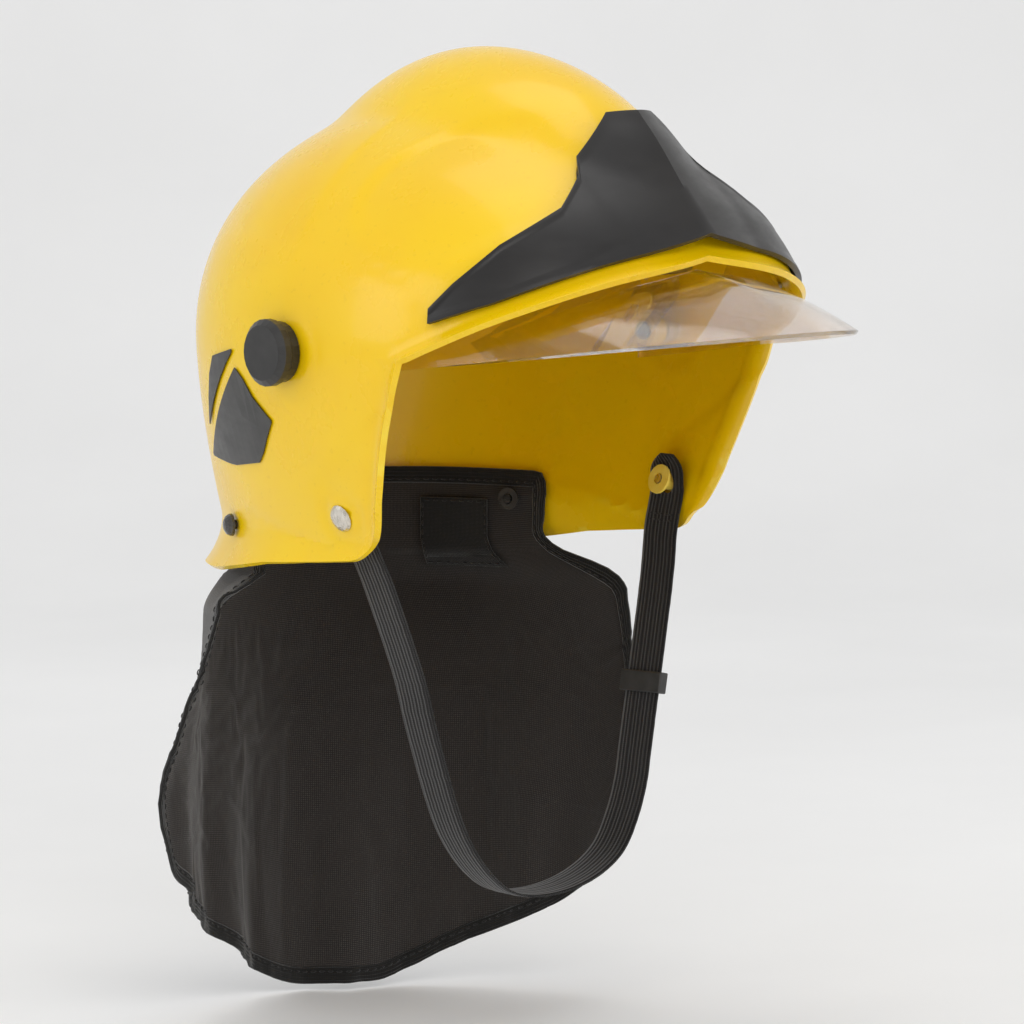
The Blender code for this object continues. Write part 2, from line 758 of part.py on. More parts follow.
def curtain_columns():
    shares = [-1.0, -0.94, -0.82, -0.66, -0.5, -0.33, -0.16, 0.0, 0.16, 0.33, 0.5, 0.66, 0.82, 0.94, 1.0]
    columns = []
    for share in shares:
        hem = table(CURTAIN_HEM, share)
        column = []
        for k in range(13):
            part = k / 12
            column.append(curtain_point(share, CURTAIN_TOP + (hem - CURTAIN_TOP) * part ** 1.4))
        columns.append(column)
    return columns


def make_curtain():
    columns = curtain_columns()
    curtain = grid("neck_curtain", columns)
    solidify(curtain, CURTAIN_THICKNESS, 0)
    rods = []
    for side in (-1, 1):
        spot, out = fixing(side, STUD)
        rods.append((spot - out * 1.0, spot - out * 10.0, 2.0 + GAP))
    cut(curtain, joined_cutter("curtain_hole_cutter", rods))
    fabric = material("grey_fabric", (0.055, 0.048, 0.043), 0.92)
    paint(curtain, fabric)
    loop = [column[0] for column in columns]
    loop += columns[-1][1:]
    loop += [column[-1] for column in reversed(columns[:-1])]
    loop += list(reversed(columns[0][1:-1]))
    strips = []
    for i, point in enumerate(loop):
        along = (loop[(i + 1) % len(loop)] - loop[i - 1]).normalized()
        away = Vector((point.x, point.y + 10, 0)).normalized()
        out = along.cross(away).normalized()
        strips.append([point + out * 0.4, point + out * 0.5 * BINDING_WIDTH, point + out * BINDING_WIDTH])
    centre = sum(loop, Vector()) / len(loop)
    if (strips[5][2] - centre).length < (strips[5][0] - centre).length:
        strips = [[2 * p[0] - p[k] for k in range(3)] for p in strips]
        for i, point in enumerate(loop):
            shift = strips[i][2] - point
            strips[i] = [point + shift.normalized() * w for w in (0.4, 0.5 * BINDING_WIDTH, BINDING_WIDTH)]
    strips = [[keep_inside(point, 0.4) for point in strip] for strip in strips]
    binding = grid("curtain_binding", strips, closed=True)
    solidify(binding, 1.8, 0)
    paint(binding, material("black_binding", (0.016, 0.015, 0.014), 0.85))
    for side, word in ((-1, "right"), (1, "left")):
        patch_columns = []
        for i in range(7):
            share = side * (0.50 + 0.28 * i / 6)
            patch_columns.append([curtain_point(share, z) - curtain_out(share, z) * 3.0
                                  for z in (-79, -85, -91, -97, -103, -108)])
        patch = grid("curtain_patch_" + word, patch_columns)
        solidify(patch, 0.9, 0)
        paint(patch, material("black_loop_tape", (0.013, 0.012, 0.012), 0.95))


# ---------------------------------------------------------------- head cradle

def band_point(phi, z, out=0.0):
    x = BAND_HALF_WIDTH * math.sin(phi)
    y = -BAND_HALF_LENGTH * math.cos(phi)
    normal = Vector((x / BAND_HALF_WIDTH ** 2, y / BAND_HALF_LENGTH ** 2, 0)).normalized()
    return Vector((x, y, z)) + normal * out


def make_headband():
    columns = []
    for i in range(40):
        phi = math.tau * i / 40
        columns.append([band_point(phi, z) for z in (BAND_LOW, BAND_HIGH)])
    band = grid("headband", columns, closed=True)
    turn_out(band, Vector((0, 0, 40)))
    solidify(band, BAND_THICKNESS, 1)
    paint(band, material("black_headband", (0.02, 0.02, 0.02), 0.5))
    pad_columns = []
    for i in range(9):
        phi = math.radians(-56 + 14 * i)
        pad_columns.append([band_point(phi, z, -0.5) for z in (33, 43, 53)])
    pad = grid("sweat_pad", pad_columns)
    turn_out(pad, Vector((0, 0, 43)))
    solidify(pad, 3.0, -1)
    paint(pad, material("grey_foam", (0.09, 0.09, 0.09), 0.95))


def make_cradle():
    """Two crossing straps over the head with a round pad under the crossing."""
    mat = material("cradle_strap", (0.03, 0.03, 0.03), 0.85)
    for name, lengthwise, top, bow in (("crown_strap_lengthwise", True, 92.0, 2.6),
                                       ("crown_strap_crosswise", False, 90.2, 2.35)):
        reach = (BAND_HALF_LENGTH if lengthwise else BAND_HALF_WIDTH) + BAND_THICKNESS + 0.5 + 0.5
        columns = []
        for i in range(17):
            angle = math.pi * i / 16
            out = reach * math.cos(angle)
            flat = abs(math.cos(angle))
            z = 49.5 + (top - 49.5) * (1 - flat ** bow) ** (1 / bow)
            width = 9.0
            if lengthwise:
                columns.append([Vector((w, out, z)) for w in (-width, width)])
            else:
                columns.append([Vector((out, w, z)) for w in (-width, width)])
        for column in columns:
            for point in column:
                squeeze_out(point)
        strap = grid(name, columns)
        solidify(strap, 1.0, 0)
        paint(strap, mat)
    pad = turned("crown_pad", ((0, 4.0), (24.0, 4.0), (26.0, 2.6), (26.0, 0.6), (25.4, 0.0), (0, 0)),
                 place=(0, 0, 83.8), segments=24)
    sharpen(pad, 50)
    paint(pad, material("crown_foam", (0.08, 0.08, 0.085), 0.95))


def squeeze_out(point):
    """Keep a cradle strap outside the headband where it runs beside it."""
    if point.z > BAND_HIGH + 7:
        return
    spread = math.hypot(point.x / (BAND_HALF_WIDTH + 3.2), point.y / (BAND_HALF_LENGTH + 3.2))
    if spread < 1.0:
        point.x /= spread
        point.y /= spread


POST_PLACES = ((100.0, 46.0), (148.0, 46.0))


def make_posts():
    mat = material("post_nylon", (0.85, 0.6, 0.02), 0.4)
    for angle, z in POST_PLACES:
        for side, word in ((-1, "right"), (1, "left")):
            phi = math.radians(angle) * side
            direction = Vector((math.sin(phi), -math.cos(phi), 0))
            wall = skin_z(phi, z)
            far = math.hypot(wall.x, wall.y) - WALL - 4.0
            band = (((math.sin(phi) / (BAND_HALF_WIDTH + BAND_THICKNESS)) ** 2)
                    + (math.cos(phi) / (BAND_HALF_LENGTH + BAND_THICKNESS)) ** 2) ** -0.5
            name = ("side_post_" if angle < 120 else "rear_post_") + word
            post = rod(name, direction * (band + 0.9) + Vector((0, 0, z)), direction * far + Vector((0, 0, z)), 3.2)
            sharpen(post)
            paint(post, mat)


def make_size_slider():
    """Adjusting tab on the outside of the headband's back."""
    bpy.ops.mesh.primitive_cube_add(size=1)
    tab = bpy.context.active_object
    tab.name = "size_slider"
    move_to(tab, PARTS)
    tab.data.transform(Matrix.Diagonal((26 * MM, 5 * MM, 14 * MM, 1)))
    tab.location = Vector((0, BAND_HALF_LENGTH + BAND_THICKNESS + 2.5 + 2.2, 41)) * MM
    bevel(tab, 1.0, 2)
    paint(tab, material("grey_slider", (0.05, 0.05, 0.052), 0.4))


def main():
    global PARTS, CUTTERS
    for obj in list(bpy.data.objects):
        bpy.data.objects.remove(obj, do_unlink=True)
    PARTS = bpy.data.collections.new("firefighter_helmet")
    CUTTERS = bpy.data.collections.new("cutters")
    for collection in (PARTS, CUTTERS):
        bpy.context.scene.collection.children.link(collection)
    make_shell()
    make_front_plate()
    make_decals()
    make_visor()
    make_pivots()
    make_fastenings()
    make_strap()
    make_slider()
    make_curtain()
    make_headband()
    make_cradle()
    make_posts()
    make_size_slider()


main()
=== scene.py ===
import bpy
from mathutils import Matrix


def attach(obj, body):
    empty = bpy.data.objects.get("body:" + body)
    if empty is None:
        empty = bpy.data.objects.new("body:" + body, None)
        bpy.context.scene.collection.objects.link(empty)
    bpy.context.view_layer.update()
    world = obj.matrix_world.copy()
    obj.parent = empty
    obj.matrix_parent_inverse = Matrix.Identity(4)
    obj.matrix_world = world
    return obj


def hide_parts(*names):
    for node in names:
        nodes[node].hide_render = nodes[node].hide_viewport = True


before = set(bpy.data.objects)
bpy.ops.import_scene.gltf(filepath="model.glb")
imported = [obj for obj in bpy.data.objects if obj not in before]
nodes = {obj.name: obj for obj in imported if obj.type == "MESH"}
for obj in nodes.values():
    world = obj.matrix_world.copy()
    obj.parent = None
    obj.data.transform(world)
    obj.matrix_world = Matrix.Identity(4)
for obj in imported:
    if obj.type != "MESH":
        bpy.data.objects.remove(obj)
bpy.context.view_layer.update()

import math

import bmesh
import bpy
from mathutils import Matrix, Vector, noise

# Lengths are in millimetres until a mesh is made. "Ahead" is the side the wearer looks towards.
MM = 0.001
GAP = 0.35
HALF_WIDTH, FRONT_REACH, REAR_REACH, DOME_HEIGHT = 108.0, 146.5, 136.0, 101.0
SKIRT_FRONT, DOME_POWER, FRONT_SLOPE = 142.0, 2.1, 0.25
CREST_HALF_WIDTH, CREST_HEIGHT, CREST_FRONT, CREST_REAR, CREST_BLEND = 72.0, 121.0, 128.0, 114.0, 3.0
WALL = 2.6
SKIRT_TAPER = 19.0
BRIM_CORNER = 57.6
LIP = 3.0
BRIM_HEIGHTS = ((0.0, 40.5), (21.0, 31.5), (39.0, 18.0), (50.0, 7.5), (57.6, 0.0))
CHEEK_EDGE = ((-83.0, 68.6), (-75.0, 67.4), (-55.0, 65.2), (-34.0, 62.6), (-15.0, 59.8), (0.0, 57.6))
RIM_HEIGHTS = ((57.0, -83.0), (69.0, -83.0), (90.0, -86.5), (112.0, -90.0), (135.0, -97.0), (180.0, -101.0))
VISOR_HALF_WIDTH, VISOR_REACH, VISOR_THICKNESS = 98.0, 195.0, 1.8
VISOR_TOP = ((0.0, 42.5), (20.0, 40.0), (40.0, 31.0), (57.0, 18.0), (70.0, 10.0), (82.0, 8.0), (98.0, 6.5))
RIVET = (79.0, -67.0)
STUD = (132.5, -78.5)
PLATE_TOP = ((0.0, 46.4), (8.0, 47.6), (18.6, 40.0), (19.8, 35.4), (26.0, 27.6), (38.4, 20.8), (47.0, 14.0),
             (51.5, 9.6))


# ---------------------------------------------------------------- surfaces shared by the pieces

def table(pairs, value):
    if value <= pairs[0][0]:
        return pairs[0][1]
    for (a, fa), (b, fb) in zip(pairs, pairs[1:]):
        if value <= b:
            return fa + (fb - fa) * (value - a) / (b - a)
    return pairs[-1][1]


def smooth_table(pairs, value):
    """Rounded reading of a table of (input, output) pairs."""
    if value <= pairs[0][0]:
        return pairs[0][1]
    if value >= pairs[-1][0]:
        return pairs[-1][1]
    n = 0
    while value > pairs[n + 1][0]:
        n += 1
    (a, fa), (b, fb) = pairs[n], pairs[n + 1]
    slope = (fb - fa) / (b - a)
    before = (fa - pairs[n - 1][1]) / (a - pairs[n - 1][0]) if n else slope
    after = (pairs[n + 2][1] - fb) / (pairs[n + 2][0] - b) if n + 2 < len(pairs) else slope
    start = (slope + before) / 2 if slope * before > 0 else 0.0
    end = (slope + after) / 2 if slope * after > 0 else 0.0
    t = (value - a) / (b - a)
    width = b - a
    return (fa * (1 + 2 * t) * (1 - t) ** 2 + fb * t * t * (3 - 2 * t)
            + start * width * t * (1 - t) ** 2 - end * width * t * t * (1 - t))


def from_front(phi):
    return abs((math.degrees(phi) + 180.0) % 360.0 - 180.0)


def bulge(value, power):
    return math.copysign(abs(value) ** power, value)


def ease(value):
    t = min(1.0, max(0.0, value))
    return t * t * (3 - 2 * t)


def plan_radius(phi, half_width, front, rear):
    side = abs(math.sin(phi))
    ahead = math.cos(phi)
    power = 2.3 if ahead > 0 else 2.1
    reach = front if ahead > 0 else rear
    return ((side / half_width) ** power + (abs(ahead) / reach) ** power) ** (-1 / power)


def dome_radius(phi, rise):
    base = plan_radius(phi, HALF_WIDTH, FRONT_REACH, REAR_REACH)
    power = DOME_POWER - FRONT_SLOPE * max(0.0, math.cos(phi)) ** 0.6
    main = ((math.cos(rise) / base) ** power + (math.sin(rise) / DOME_HEIGHT) ** power) ** (-1 / power)
    length = CREST_FRONT if math.cos(phi) > 0 else CREST_REAR
    across = math.cos(rise) * math.sin(phi) / CREST_HALF_WIDTH
    along = math.cos(rise) * math.cos(phi) / length
    crest = (across ** 2 + along ** 2 + (math.sin(rise) / CREST_HEIGHT) ** 2) ** -0.5
    return 0.5 * (main + crest + math.hypot(main - crest, CREST_BLEND))


def rim_height(phi):
    return table(RIM_HEIGHTS, from_front(phi))


def skirt_radius(phi, z):
    drop = min(1.0, -z / 78.0)
    half_width = HALF_WIDTH - SKIRT_TAPER * drop ** 1.6
    front = SKIRT_FRONT - 6.0 * drop
    level = plan_radius(phi, half_width, front, REAR_REACH)
    join = dome_radius(phi, 0.0) - plan_radius(phi, HALF_WIDTH, SKIRT_FRONT, REAR_REACH)
    near_rim = max(0.0, 1.0 - (z - rim_height(phi)) / 20.0)
    rearness = min(1.0, max(0.0, (from_front(phi) - 95.0) / 45.0))
    return level + join * (1 - drop) + (2.5 + 5.5 * rearness) * near_rim ** 2


def polar(phi, rise, radius):
    flat = radius * math.cos(rise)
    return Vector((flat * math.sin(phi), -flat * math.cos(phi), radius * math.sin(rise)))


def rise_at(phi, z):
    rise = 0.0
    for _ in range(14):
        rise = math.asin(min(0.9999, z / dome_radius(phi, rise)))
    return rise


def skin_z(phi, z, out=0.0):
    if z >= 0.0:
        rise = rise_at(phi, z)
        radius = dome_radius(phi, rise) * math.cos(rise) + out
    else:
        radius = skirt_radius(phi, z) + out
    return Vector((radius * math.sin(phi), -radius * math.cos(phi), z))


def skin_rise(phi, rise, out=0.0):
    return polar(phi, rise, dome_radius(phi, rise) + out)


def fixing(side, place):
    """Point on the skin and its outward direction for a fastening; side is -1 or 1."""
    phi, z, turn = math.radians(place[0]) * side, place[1], 0.02
    along = skin_z(phi + turn, z) - skin_z(phi - turn, z)
    up = skin_z(phi, z + 1.5) - skin_z(phi, z - 1.5)
    return skin_z(phi, z), along.cross(up).normalized()


def seg_distance(ahead, z, start, end):
    """Distance to a line between two (ahead, height) points."""
    dx, dz = end[0] - start[0], end[1] - start[1]
    share = ((ahead - start[0]) * dx + (z - start[1]) * dz) / (dx * dx + dz * dz)
    share = min(1.0, max(0.0, share))
    return math.hypot(ahead - start[0] - dx * share, z - start[1] - dz * share)


RIVET_SPOT = fixing(1, RIVET)[0]
GROOVE = ((-62.0, -70.0), (-55.0, -71.0), (-21.0, -77.0), (8.0, -80.0))
CREASE = ((62.0, -10.0), (58.0, -16.0), (33.0, -36.0), (3.0, -56.0), (-4.0, -60.0))
PANEL_LINE = ((-92.0, 44.0), (-38.0, 45.0), (2.0, 41.0), (35.0, 35.0), (65.0, 27.0), (78.0, 22.0))


def relief(point):
    """Moulded shapes on the shell: height above the plain skin at a point."""
    side, ahead, z = abs(point.x), -point.y, point.z
    height = 0.0
    facet = 1.0 - math.hypot((ahead - 62.0) / 45.0, (z - 67.0) / 29.0)
    if side > 18:
        height -= 1.3 * ease(facet * 34.0 / 5.0) * ease((side - 22) / 12.0)
    if side > 60:
        line = table(PANEL_LINE, ahead)
        fade = ease((74.0 - ahead) / 14.0) * ease((ahead + 88.0) / 20.0) * ease((z + 4.0) / 34.0)
        height += 0.9 * ease((line - z) / 4.0 + 0.5) * fade
        nearest = min(seg_distance(ahead, z, a, b) for a, b in zip(CREASE, CREASE[1:]))
        under = ahead - table(tuple((h, f) for f, h in reversed(CREASE)), z)
        if -58 < z < -8:
            height -= 0.9 * ease(under / 3.0 + 0.5) * ease((z + 60.0) / 8.0) * ease((-6 - z) / 8.0) * \
                ease((34.0 - nearest) / 22.0)
        groove = min(seg_distance(ahead, z, a, b) for a, b in zip(GROOVE, GROOVE[1:]))
        height -= 0.8 * ease(1.0 - groove / 2.2)
        ring = math.hypot(ahead + RIVET_SPOT.y, z - RIVET_SPOT.z)
        height -= 1.1 * ease((ring - 6.6) / 1.6) * ease((15.5 - ring) / 6.0)
        boss = math.hypot(ahead, z)
        height += 0.8 * ease((19.0 - boss) / 2.0)
    return height


# ---------------------------------------------------------------- mesh helpers

def mesh_object(name, verts, faces, uvs=None, smooth=True, sharp=None):
    mesh = bpy.data.meshes.new(name)
    mesh.from_pydata([Vector(v) * MM for v in verts], [], faces)
    mesh.validate()
    if uvs:
        layer = mesh.uv_layers.new(name="weave")
        for loop in mesh.loops:
            layer.data[loop.index].uv = uvs[loop.vertex_index]
    bm = bmesh.new()
    bm.from_mesh(mesh)
    bmesh.ops.recalc_face_normals(bm, faces=bm.faces)
    bm.to_mesh(mesh)
    bm.free()
    mesh.shade_smooth() if smooth else mesh.shade_flat()
    if sharp:
        mesh.set_sharp_from_angle(angle=math.radians(sharp))
    obj = bpy.data.objects.new(name, mesh)
    bpy.context.scene.collection.objects.link(obj)
    return obj


def grid_faces(columns, rows, closed=False):
    faces = []
    for i in range(columns if closed else columns - 1):
        j = (i + 1) % columns
        for k in range(rows - 1):
            faces.append((i * rows + k, j * rows + k, j * rows + k + 1, i * rows + k + 1))
    return faces


def sheet_uvs(columns):
    """Distances in metres along and across a grid of points, for a weave."""
    rows = len(columns[0])
    mid = rows // 2
    uvs, run = [], 0.0
    for i, column in enumerate(columns):
        if i:
            run += (column[mid] - columns[i - 1][mid]).length
        down = 0.0
        for k, point in enumerate(column):
            if k:
                down += (point - column[k - 1]).length
            uvs.append((run * MM, down * MM))
    return uvs


def grid_object(name, columns, closed=False, sharp=None):
    verts = [point for column in columns for point in column]
    faces = grid_faces(len(columns), len(columns[0]), closed)
    return mesh_object(name, verts, faces, sheet_uvs(columns), sharp=sharp)


def face_away(obj, centre):
    """Make an open sheet's faces point away from a centre."""
    centre = Vector(centre) * MM
    if sum((f.center - centre).dot(f.normal) * f.area for f in obj.data.polygons) < 0:
        obj.data.flip_normals()


def thicken(obj, thickness, offset=-1):
    mod = obj.modifiers.new("thickness", "SOLIDIFY")
    mod.thickness = thickness * MM
    mod.offset = offset
    mod.use_even_offset = True
    apply(obj, mod)


def apply(obj, mod):
    bpy.context.view_layer.objects.active = obj
    with bpy.context.temp_override(object=obj, active_object=obj, selected_objects=[obj]):
        bpy.ops.object.modifier_apply(modifier=mod.name)


def round_edges(obj, width, segments=2, angle=40.0):
    mod = obj.modifiers.new("rounded edges", "BEVEL")
    mod.width = width * MM
    mod.segments = segments
    mod.limit_method = "ANGLE"
    mod.angle_limit = math.radians(angle)
    mod.harden_normals = True


def cut_holes(obj, rods, segments=32):
    """Drill straight round holes; each rod is (start, end, radius)."""
    for start, end, radius in rods:
        way = end - start
        bpy.ops.mesh.primitive_cylinder_add(vertices=segments, radius=radius * MM, depth=way.length * MM)
        drill = bpy.context.active_object
        drill.rotation_euler = way.to_track_quat("Z", "Y").to_euler()
        drill.location = (start + end) / 2 * MM
        bpy.context.view_layer.update()
        mod = obj.modifiers.new("hole", "BOOLEAN")
        mod.object = drill
        mod.operation = "DIFFERENCE"
        mod.solver = "EXACT"
        apply(obj, mod)
        bpy.data.objects.remove(drill)


def through(a, b, c, d, t):
    """Point on the rounded curve from b to c."""
    square, cube = 2 * a - 5 * b + 4 * c - d, 3 * b - a - 3 * c + d
    return 0.5 * (2 * b + (c - a) * t + square * t ** 2 + cube * t ** 3)


def spline(points, step):
    """Even, rounded run of points through a list of points."""
    dense = []
    count = len(points)
    for i in range(count - 1):
        a = points[i - 1] if i else points[0] * 2 - points[1]
        b, c = points[i], points[i + 1]
        d = points[i + 2] if i + 2 < count else c * 2 - b
        for k in range(24):
            t = k / 24
            dense.append(through(a, b, c, d, t))
    dense.append(points[-1])
    return even(dense, step)


def even(dense, step):
    lengths = [0.0]
    for a, b in zip(dense, dense[1:]):
        lengths.append(lengths[-1] + (b - a).length)
    pieces = max(2, round(lengths[-1] / step))
    out, n = [], 0
    for i in range(pieces + 1):
        want = lengths[-1] * i / pieces
        while n < len(dense) - 2 and lengths[n + 1] < want:
            n += 1
        span = lengths[n + 1] - lengths[n] or 1.0
        out.append(dense[n].lerp(dense[n + 1], (want - lengths[n]) / span))
    return out


def finish_piece(obj, body, mat, replaced=()):
    obj.data.materials.clear()
    obj.data.materials.append(mat)
    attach(obj, body)
    if replaced:
        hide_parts(*replaced)
    return obj


# ---------------------------------------------------------------- materials

class Looks:
    """A procedural material built on one Principled shader."""

    def __init__(self, name, colour, roughness, **inputs):
        self.mat = bpy.data.materials.new(name)
        self.mat.use_nodes = True
        self.tree = self.mat.node_tree
        self.shader = self.tree.nodes["Principled BSDF"]
        self.mat.diffuse_color = (*colour, 1.0)
        self.set("Base Color", (*colour, 1.0))
        self.set("Roughness", roughness)
        for key, value in inputs.items():
            self.set(key.replace("_", " ").title().replace("Ior", "IOR"), value)
        self.coords = self.tree.nodes.new("ShaderNodeTexCoord")

    def set(self, socket, value):
        self.shader.inputs[socket].default_value = value

    def node(self, kind, links=(), **settings):
        made = self.tree.nodes.new("ShaderNode" + kind)
        for key, value in settings.items():
            if hasattr(made, key):
                setattr(made, key, value)
            else:
                made.inputs[key.replace("_", " ").title()].default_value = value
        for socket, source in links:
            self.tree.links.new(source, made.inputs[socket])
        return made

    def place(self, stretch=(1, 1, 1), uv=False, turn=0.0):
        source = self.coords.outputs["UV" if uv else "Object"]
        made = self.node("Mapping", [("Vector", source)])
        made.inputs["Scale"].default_value = stretch
        made.inputs["Rotation"].default_value = (0.0, 0.0, turn)
        return made.outputs["Vector"]

    def noise(self, scale, detail=3.0, rough=0.55, stretch=(1, 1, 1), uv=False):
        made = self.node("TexNoise", [("Vector", self.place(stretch, uv))])
        made.inputs["Scale"].default_value = scale
        made.inputs["Detail"].default_value = detail
        made.inputs["Roughness"].default_value = rough
        return made.outputs["Fac"]

    def bands(self, scale, across="X", uv=True, distortion=0.0, turn=0.0):
        made = self.node("TexWave", [("Vector", self.place(uv=uv, turn=turn))])
        made.bands_direction = across
        made.inputs["Scale"].default_value = scale
        made.inputs["Distortion"].default_value = distortion
        return made.outputs["Fac"]

    def cells(self, scale, feature="F1"):
        made = self.node("TexVoronoi", [("Vector", self.place())])
        made.feature = feature
        made.inputs["Scale"].default_value = scale
        return made.outputs["Distance"]

    def maths(self, operation, a, b=0.5):
        made = self.node("Math", operation=operation)
        for n, value in enumerate((a, b)):
            if isinstance(value, (int, float)):
                made.inputs[n].default_value = value
            else:
                self.tree.links.new(value, made.inputs[n])
        return made.outputs[0]

    def ramp(self, factor, stops):
        made = self.node("ValToRGB", [("Fac", factor)])
        points = made.color_ramp.elements
        while len(points) < len(stops):
            points.new(0.5)
        for point, (place, colour) in zip(points, stops):
            point.position = place
            point.color = (*colour, 1.0) if hasattr(colour, "__len__") else (colour, colour, colour, 1.0)
        return made.outputs["Color"]

    def mix(self, factor, a, b, blend="MIX"):
        made = self.node("Mix", data_type="RGBA", blend_type=blend)
        for socket, value in (("Factor", factor), ("A", a), ("B", b)):
            place = [s for s in made.inputs if s.name == socket and s.enabled][0]
            if isinstance(value, (int, float)):
                place.default_value = value
            elif isinstance(value, tuple):
                place.default_value = (*value, 1.0)
            else:
                self.tree.links.new(value, place)
        return [s for s in made.outputs if s.enabled][0]

    def colour(self, source):
        self.tree.links.new(source, self.shader.inputs["Base Color"])

    def feed(self, socket, source):
        self.tree.links.new(source, self.shader.inputs[socket])

    def bump(self, *layers):
        """Stack of (height, depth in millimetres, strength) surface textures."""
        below = None
        for height, depth, strength in layers:
            made = self.node("Bump", [("Height", height)])
            made.inputs["Strength"].default_value = strength
            made.inputs["Distance"].default_value = depth * MM
            if below:
                self.tree.links.new(below, made.inputs["Normal"])
            below = made.outputs["Normal"]
        self.feed("Normal", below)

    def edge_wear(self, worn, base, low=0.52, high=0.6):
        geometry = self.node("NewGeometry")
        edge = self.ramp(geometry.outputs["Pointiness"], ((low, 0.0), (high, 1.0)))
        patchy = self.maths("MULTIPLY", edge, self.noise(160, 4))
        return self.mix(patchy, base, worn)


def moulded_plastic(name, dark, light, rough, grain, grain_depth, worn, **inputs):
    """Injection-moulded plastic: mottled colour, uneven gloss, fine grain and worn edges."""
    look = Looks(name, light, rough[0], **inputs)
    blotch = look.noise(28, 4)
    body = look.ramp(blotch, ((0.3, dark), (0.7, light)))
    look.colour(look.edge_wear(worn, body))
    smear = look.noise(60, 5, 0.6, (1, 1, 3))
    look.feed("Roughness", look.ramp(smear, ((0.3, rough[0]), (0.75, rough[1]))))
    look.bump((look.noise(grain, 2), grain_depth, 0.5), (look.noise(95, 4), 0.12, 0.12))
    return look.mat


def woven(name, thread, gap, pitch, depth, sheen=0.3, twill=False, ribs=0.0, fuzz=0.35, uv=True):
    """Woven cloth or webbing: crossing threads with painted shade in the gaps between them, uneven dye,
    raised fuzz; pitch and ribs in millimetres.
    """
    look = Looks(name, thread, 0.9, sheen_weight=sheen, sheen_roughness=0.5, specular_ior_level=0.2)
    scale = 0.314 / (pitch * MM)
    turn = math.radians(28) if twill else 0.0
    warp = look.bands(scale, "X", uv, turn=turn, distortion=0.6)
    weft = look.bands(scale * (0.8 if twill else 1.0), "Y" if uv else "Z", uv, turn=turn, distortion=0.6)
    weave = look.maths("MULTIPLY", warp, weft)
    slub = look.noise(700, 3, 0.6, (1, 6, 1), uv)
    dye = look.noise(34, 5, 0.6)
    # The gap colour between the crossing threads is painted shade in the crevices of the weave.
    cloth = look.mix(look.ramp(weave, ((0.1, 0.0), (0.7, 1.0))), gap, thread)
    cloth = look.mix(look.ramp(dye, ((0.35, 0.0), (0.7, 0.55))), cloth, tuple(0.55 * c for c in thread))
    cloth = look.mix(look.maths("MULTIPLY", look.ramp(slub, ((0.55, 0.0), (0.8, 1.0))), fuzz), cloth,
                     tuple(min(1.0, 1.9 * c + 0.015) for c in thread))
    look.colour(cloth)
    look.feed("Roughness", look.ramp(dye, ((0.3, 0.78), (0.7, 0.96))))
    layers = [(weave, depth, 0.7), (slub, depth * 0.8, 0.35)]
    if ribs:
        layers.insert(0, (look.bands(0.314 / (ribs * MM), "Y"), depth * 3, 0.8))
    look.bump(*layers)
    return look.mat


def metal(name, bright, dull, rough, brushed=900):
    look = Looks(name, bright, rough, metallic=1.0)
    brush = look.noise(brushed, 3, 0.6, (1, 1, 0.08))
    stain = look.noise(130, 5)
    tone = look.maths("ADD", look.maths("MULTIPLY", brush, 0.5), look.maths("MULTIPLY", stain, 0.5))
    look.colour(look.ramp(tone, ((0.35, dull), (0.62, bright))))
    look.feed("Roughness", look.ramp(stain, ((0.3, rough), (0.75, rough + 0.18))))
    look.bump((brush, 0.02, 0.35), (look.noise(1500, 2), 0.015, 0.3))
    return look.mat


def foam(name, base, deep, pores):
    look = Looks(name, base, 0.95, sheen_weight=0.25, specular_ior_level=0.15)
    pore = look.cells(pores)
    tone = look.noise(70, 4)
    # Pore centres darkened towards the deep colour: painted shade in the pore hollows.
    skin = look.mix(look.ramp(pore, ((0.1, 1.0), (0.45, 0.0))), base, deep)
    look.colour(look.mix(look.ramp(tone, ((0.35, 0.0), (0.7, 0.5))), skin, tuple(0.7 * c for c in base)))
    look.bump((pore, 0.25, 0.7), (look.noise(1400, 3), 0.08, 0.5))
    return look.mat


def yellow_gloss():
    """Glossy moulded shell: rich yellow, faint orange peel, hair scratches and paler rubbed edges."""
    look = Looks("shell_yellow", (0.93, 0.60, 0.0), 0.24, coat_weight=0.25, coat_roughness=0.1,
                 subsurface_weight=0.08, subsurface_scale=0.004, specular_ior_level=0.4)
    look.set("Subsurface Radius", (1.0, 0.55, 0.1))
    cloud = look.noise(9, 4)
    body = look.ramp(cloud, ((0.3, (0.90, 0.55, 0.0)), (0.7, (0.96, 0.64, 0.0))))
    speck = look.ramp(look.noise(420, 2, 0.4), ((0.28, 1.0), (0.33, 0.0)))
    body = look.mix(look.maths("MULTIPLY", speck, 0.2), body, (0.72, 0.43, 0.0))
    body = look.edge_wear((0.98, 0.74, 0.06), body, 0.515, 0.56)
    look.colour(body)
    scratch = look.ramp(look.noise(260, 6, 0.7, (1, 9, 0.7)), ((0.60, 0.0), (0.66, 1.0)))
    smear = look.ramp(look.noise(22, 5, 0.6), ((0.3, 0.22), (0.75, 0.36)))
    look.feed("Roughness", look.mix(look.maths("MULTIPLY", scratch, 0.35), smear, (0.5, 0.5, 0.5)))
    look.feed("Coat Roughness", look.ramp(look.noise(48, 4), ((0.3, 0.04), (0.7, 0.14))))
    look.bump((look.noise(520, 2), 0.02, 0.12), (look.noise(30, 2), 0.3, 0.05), (scratch, 0.006, 0.12))
    return look.mat


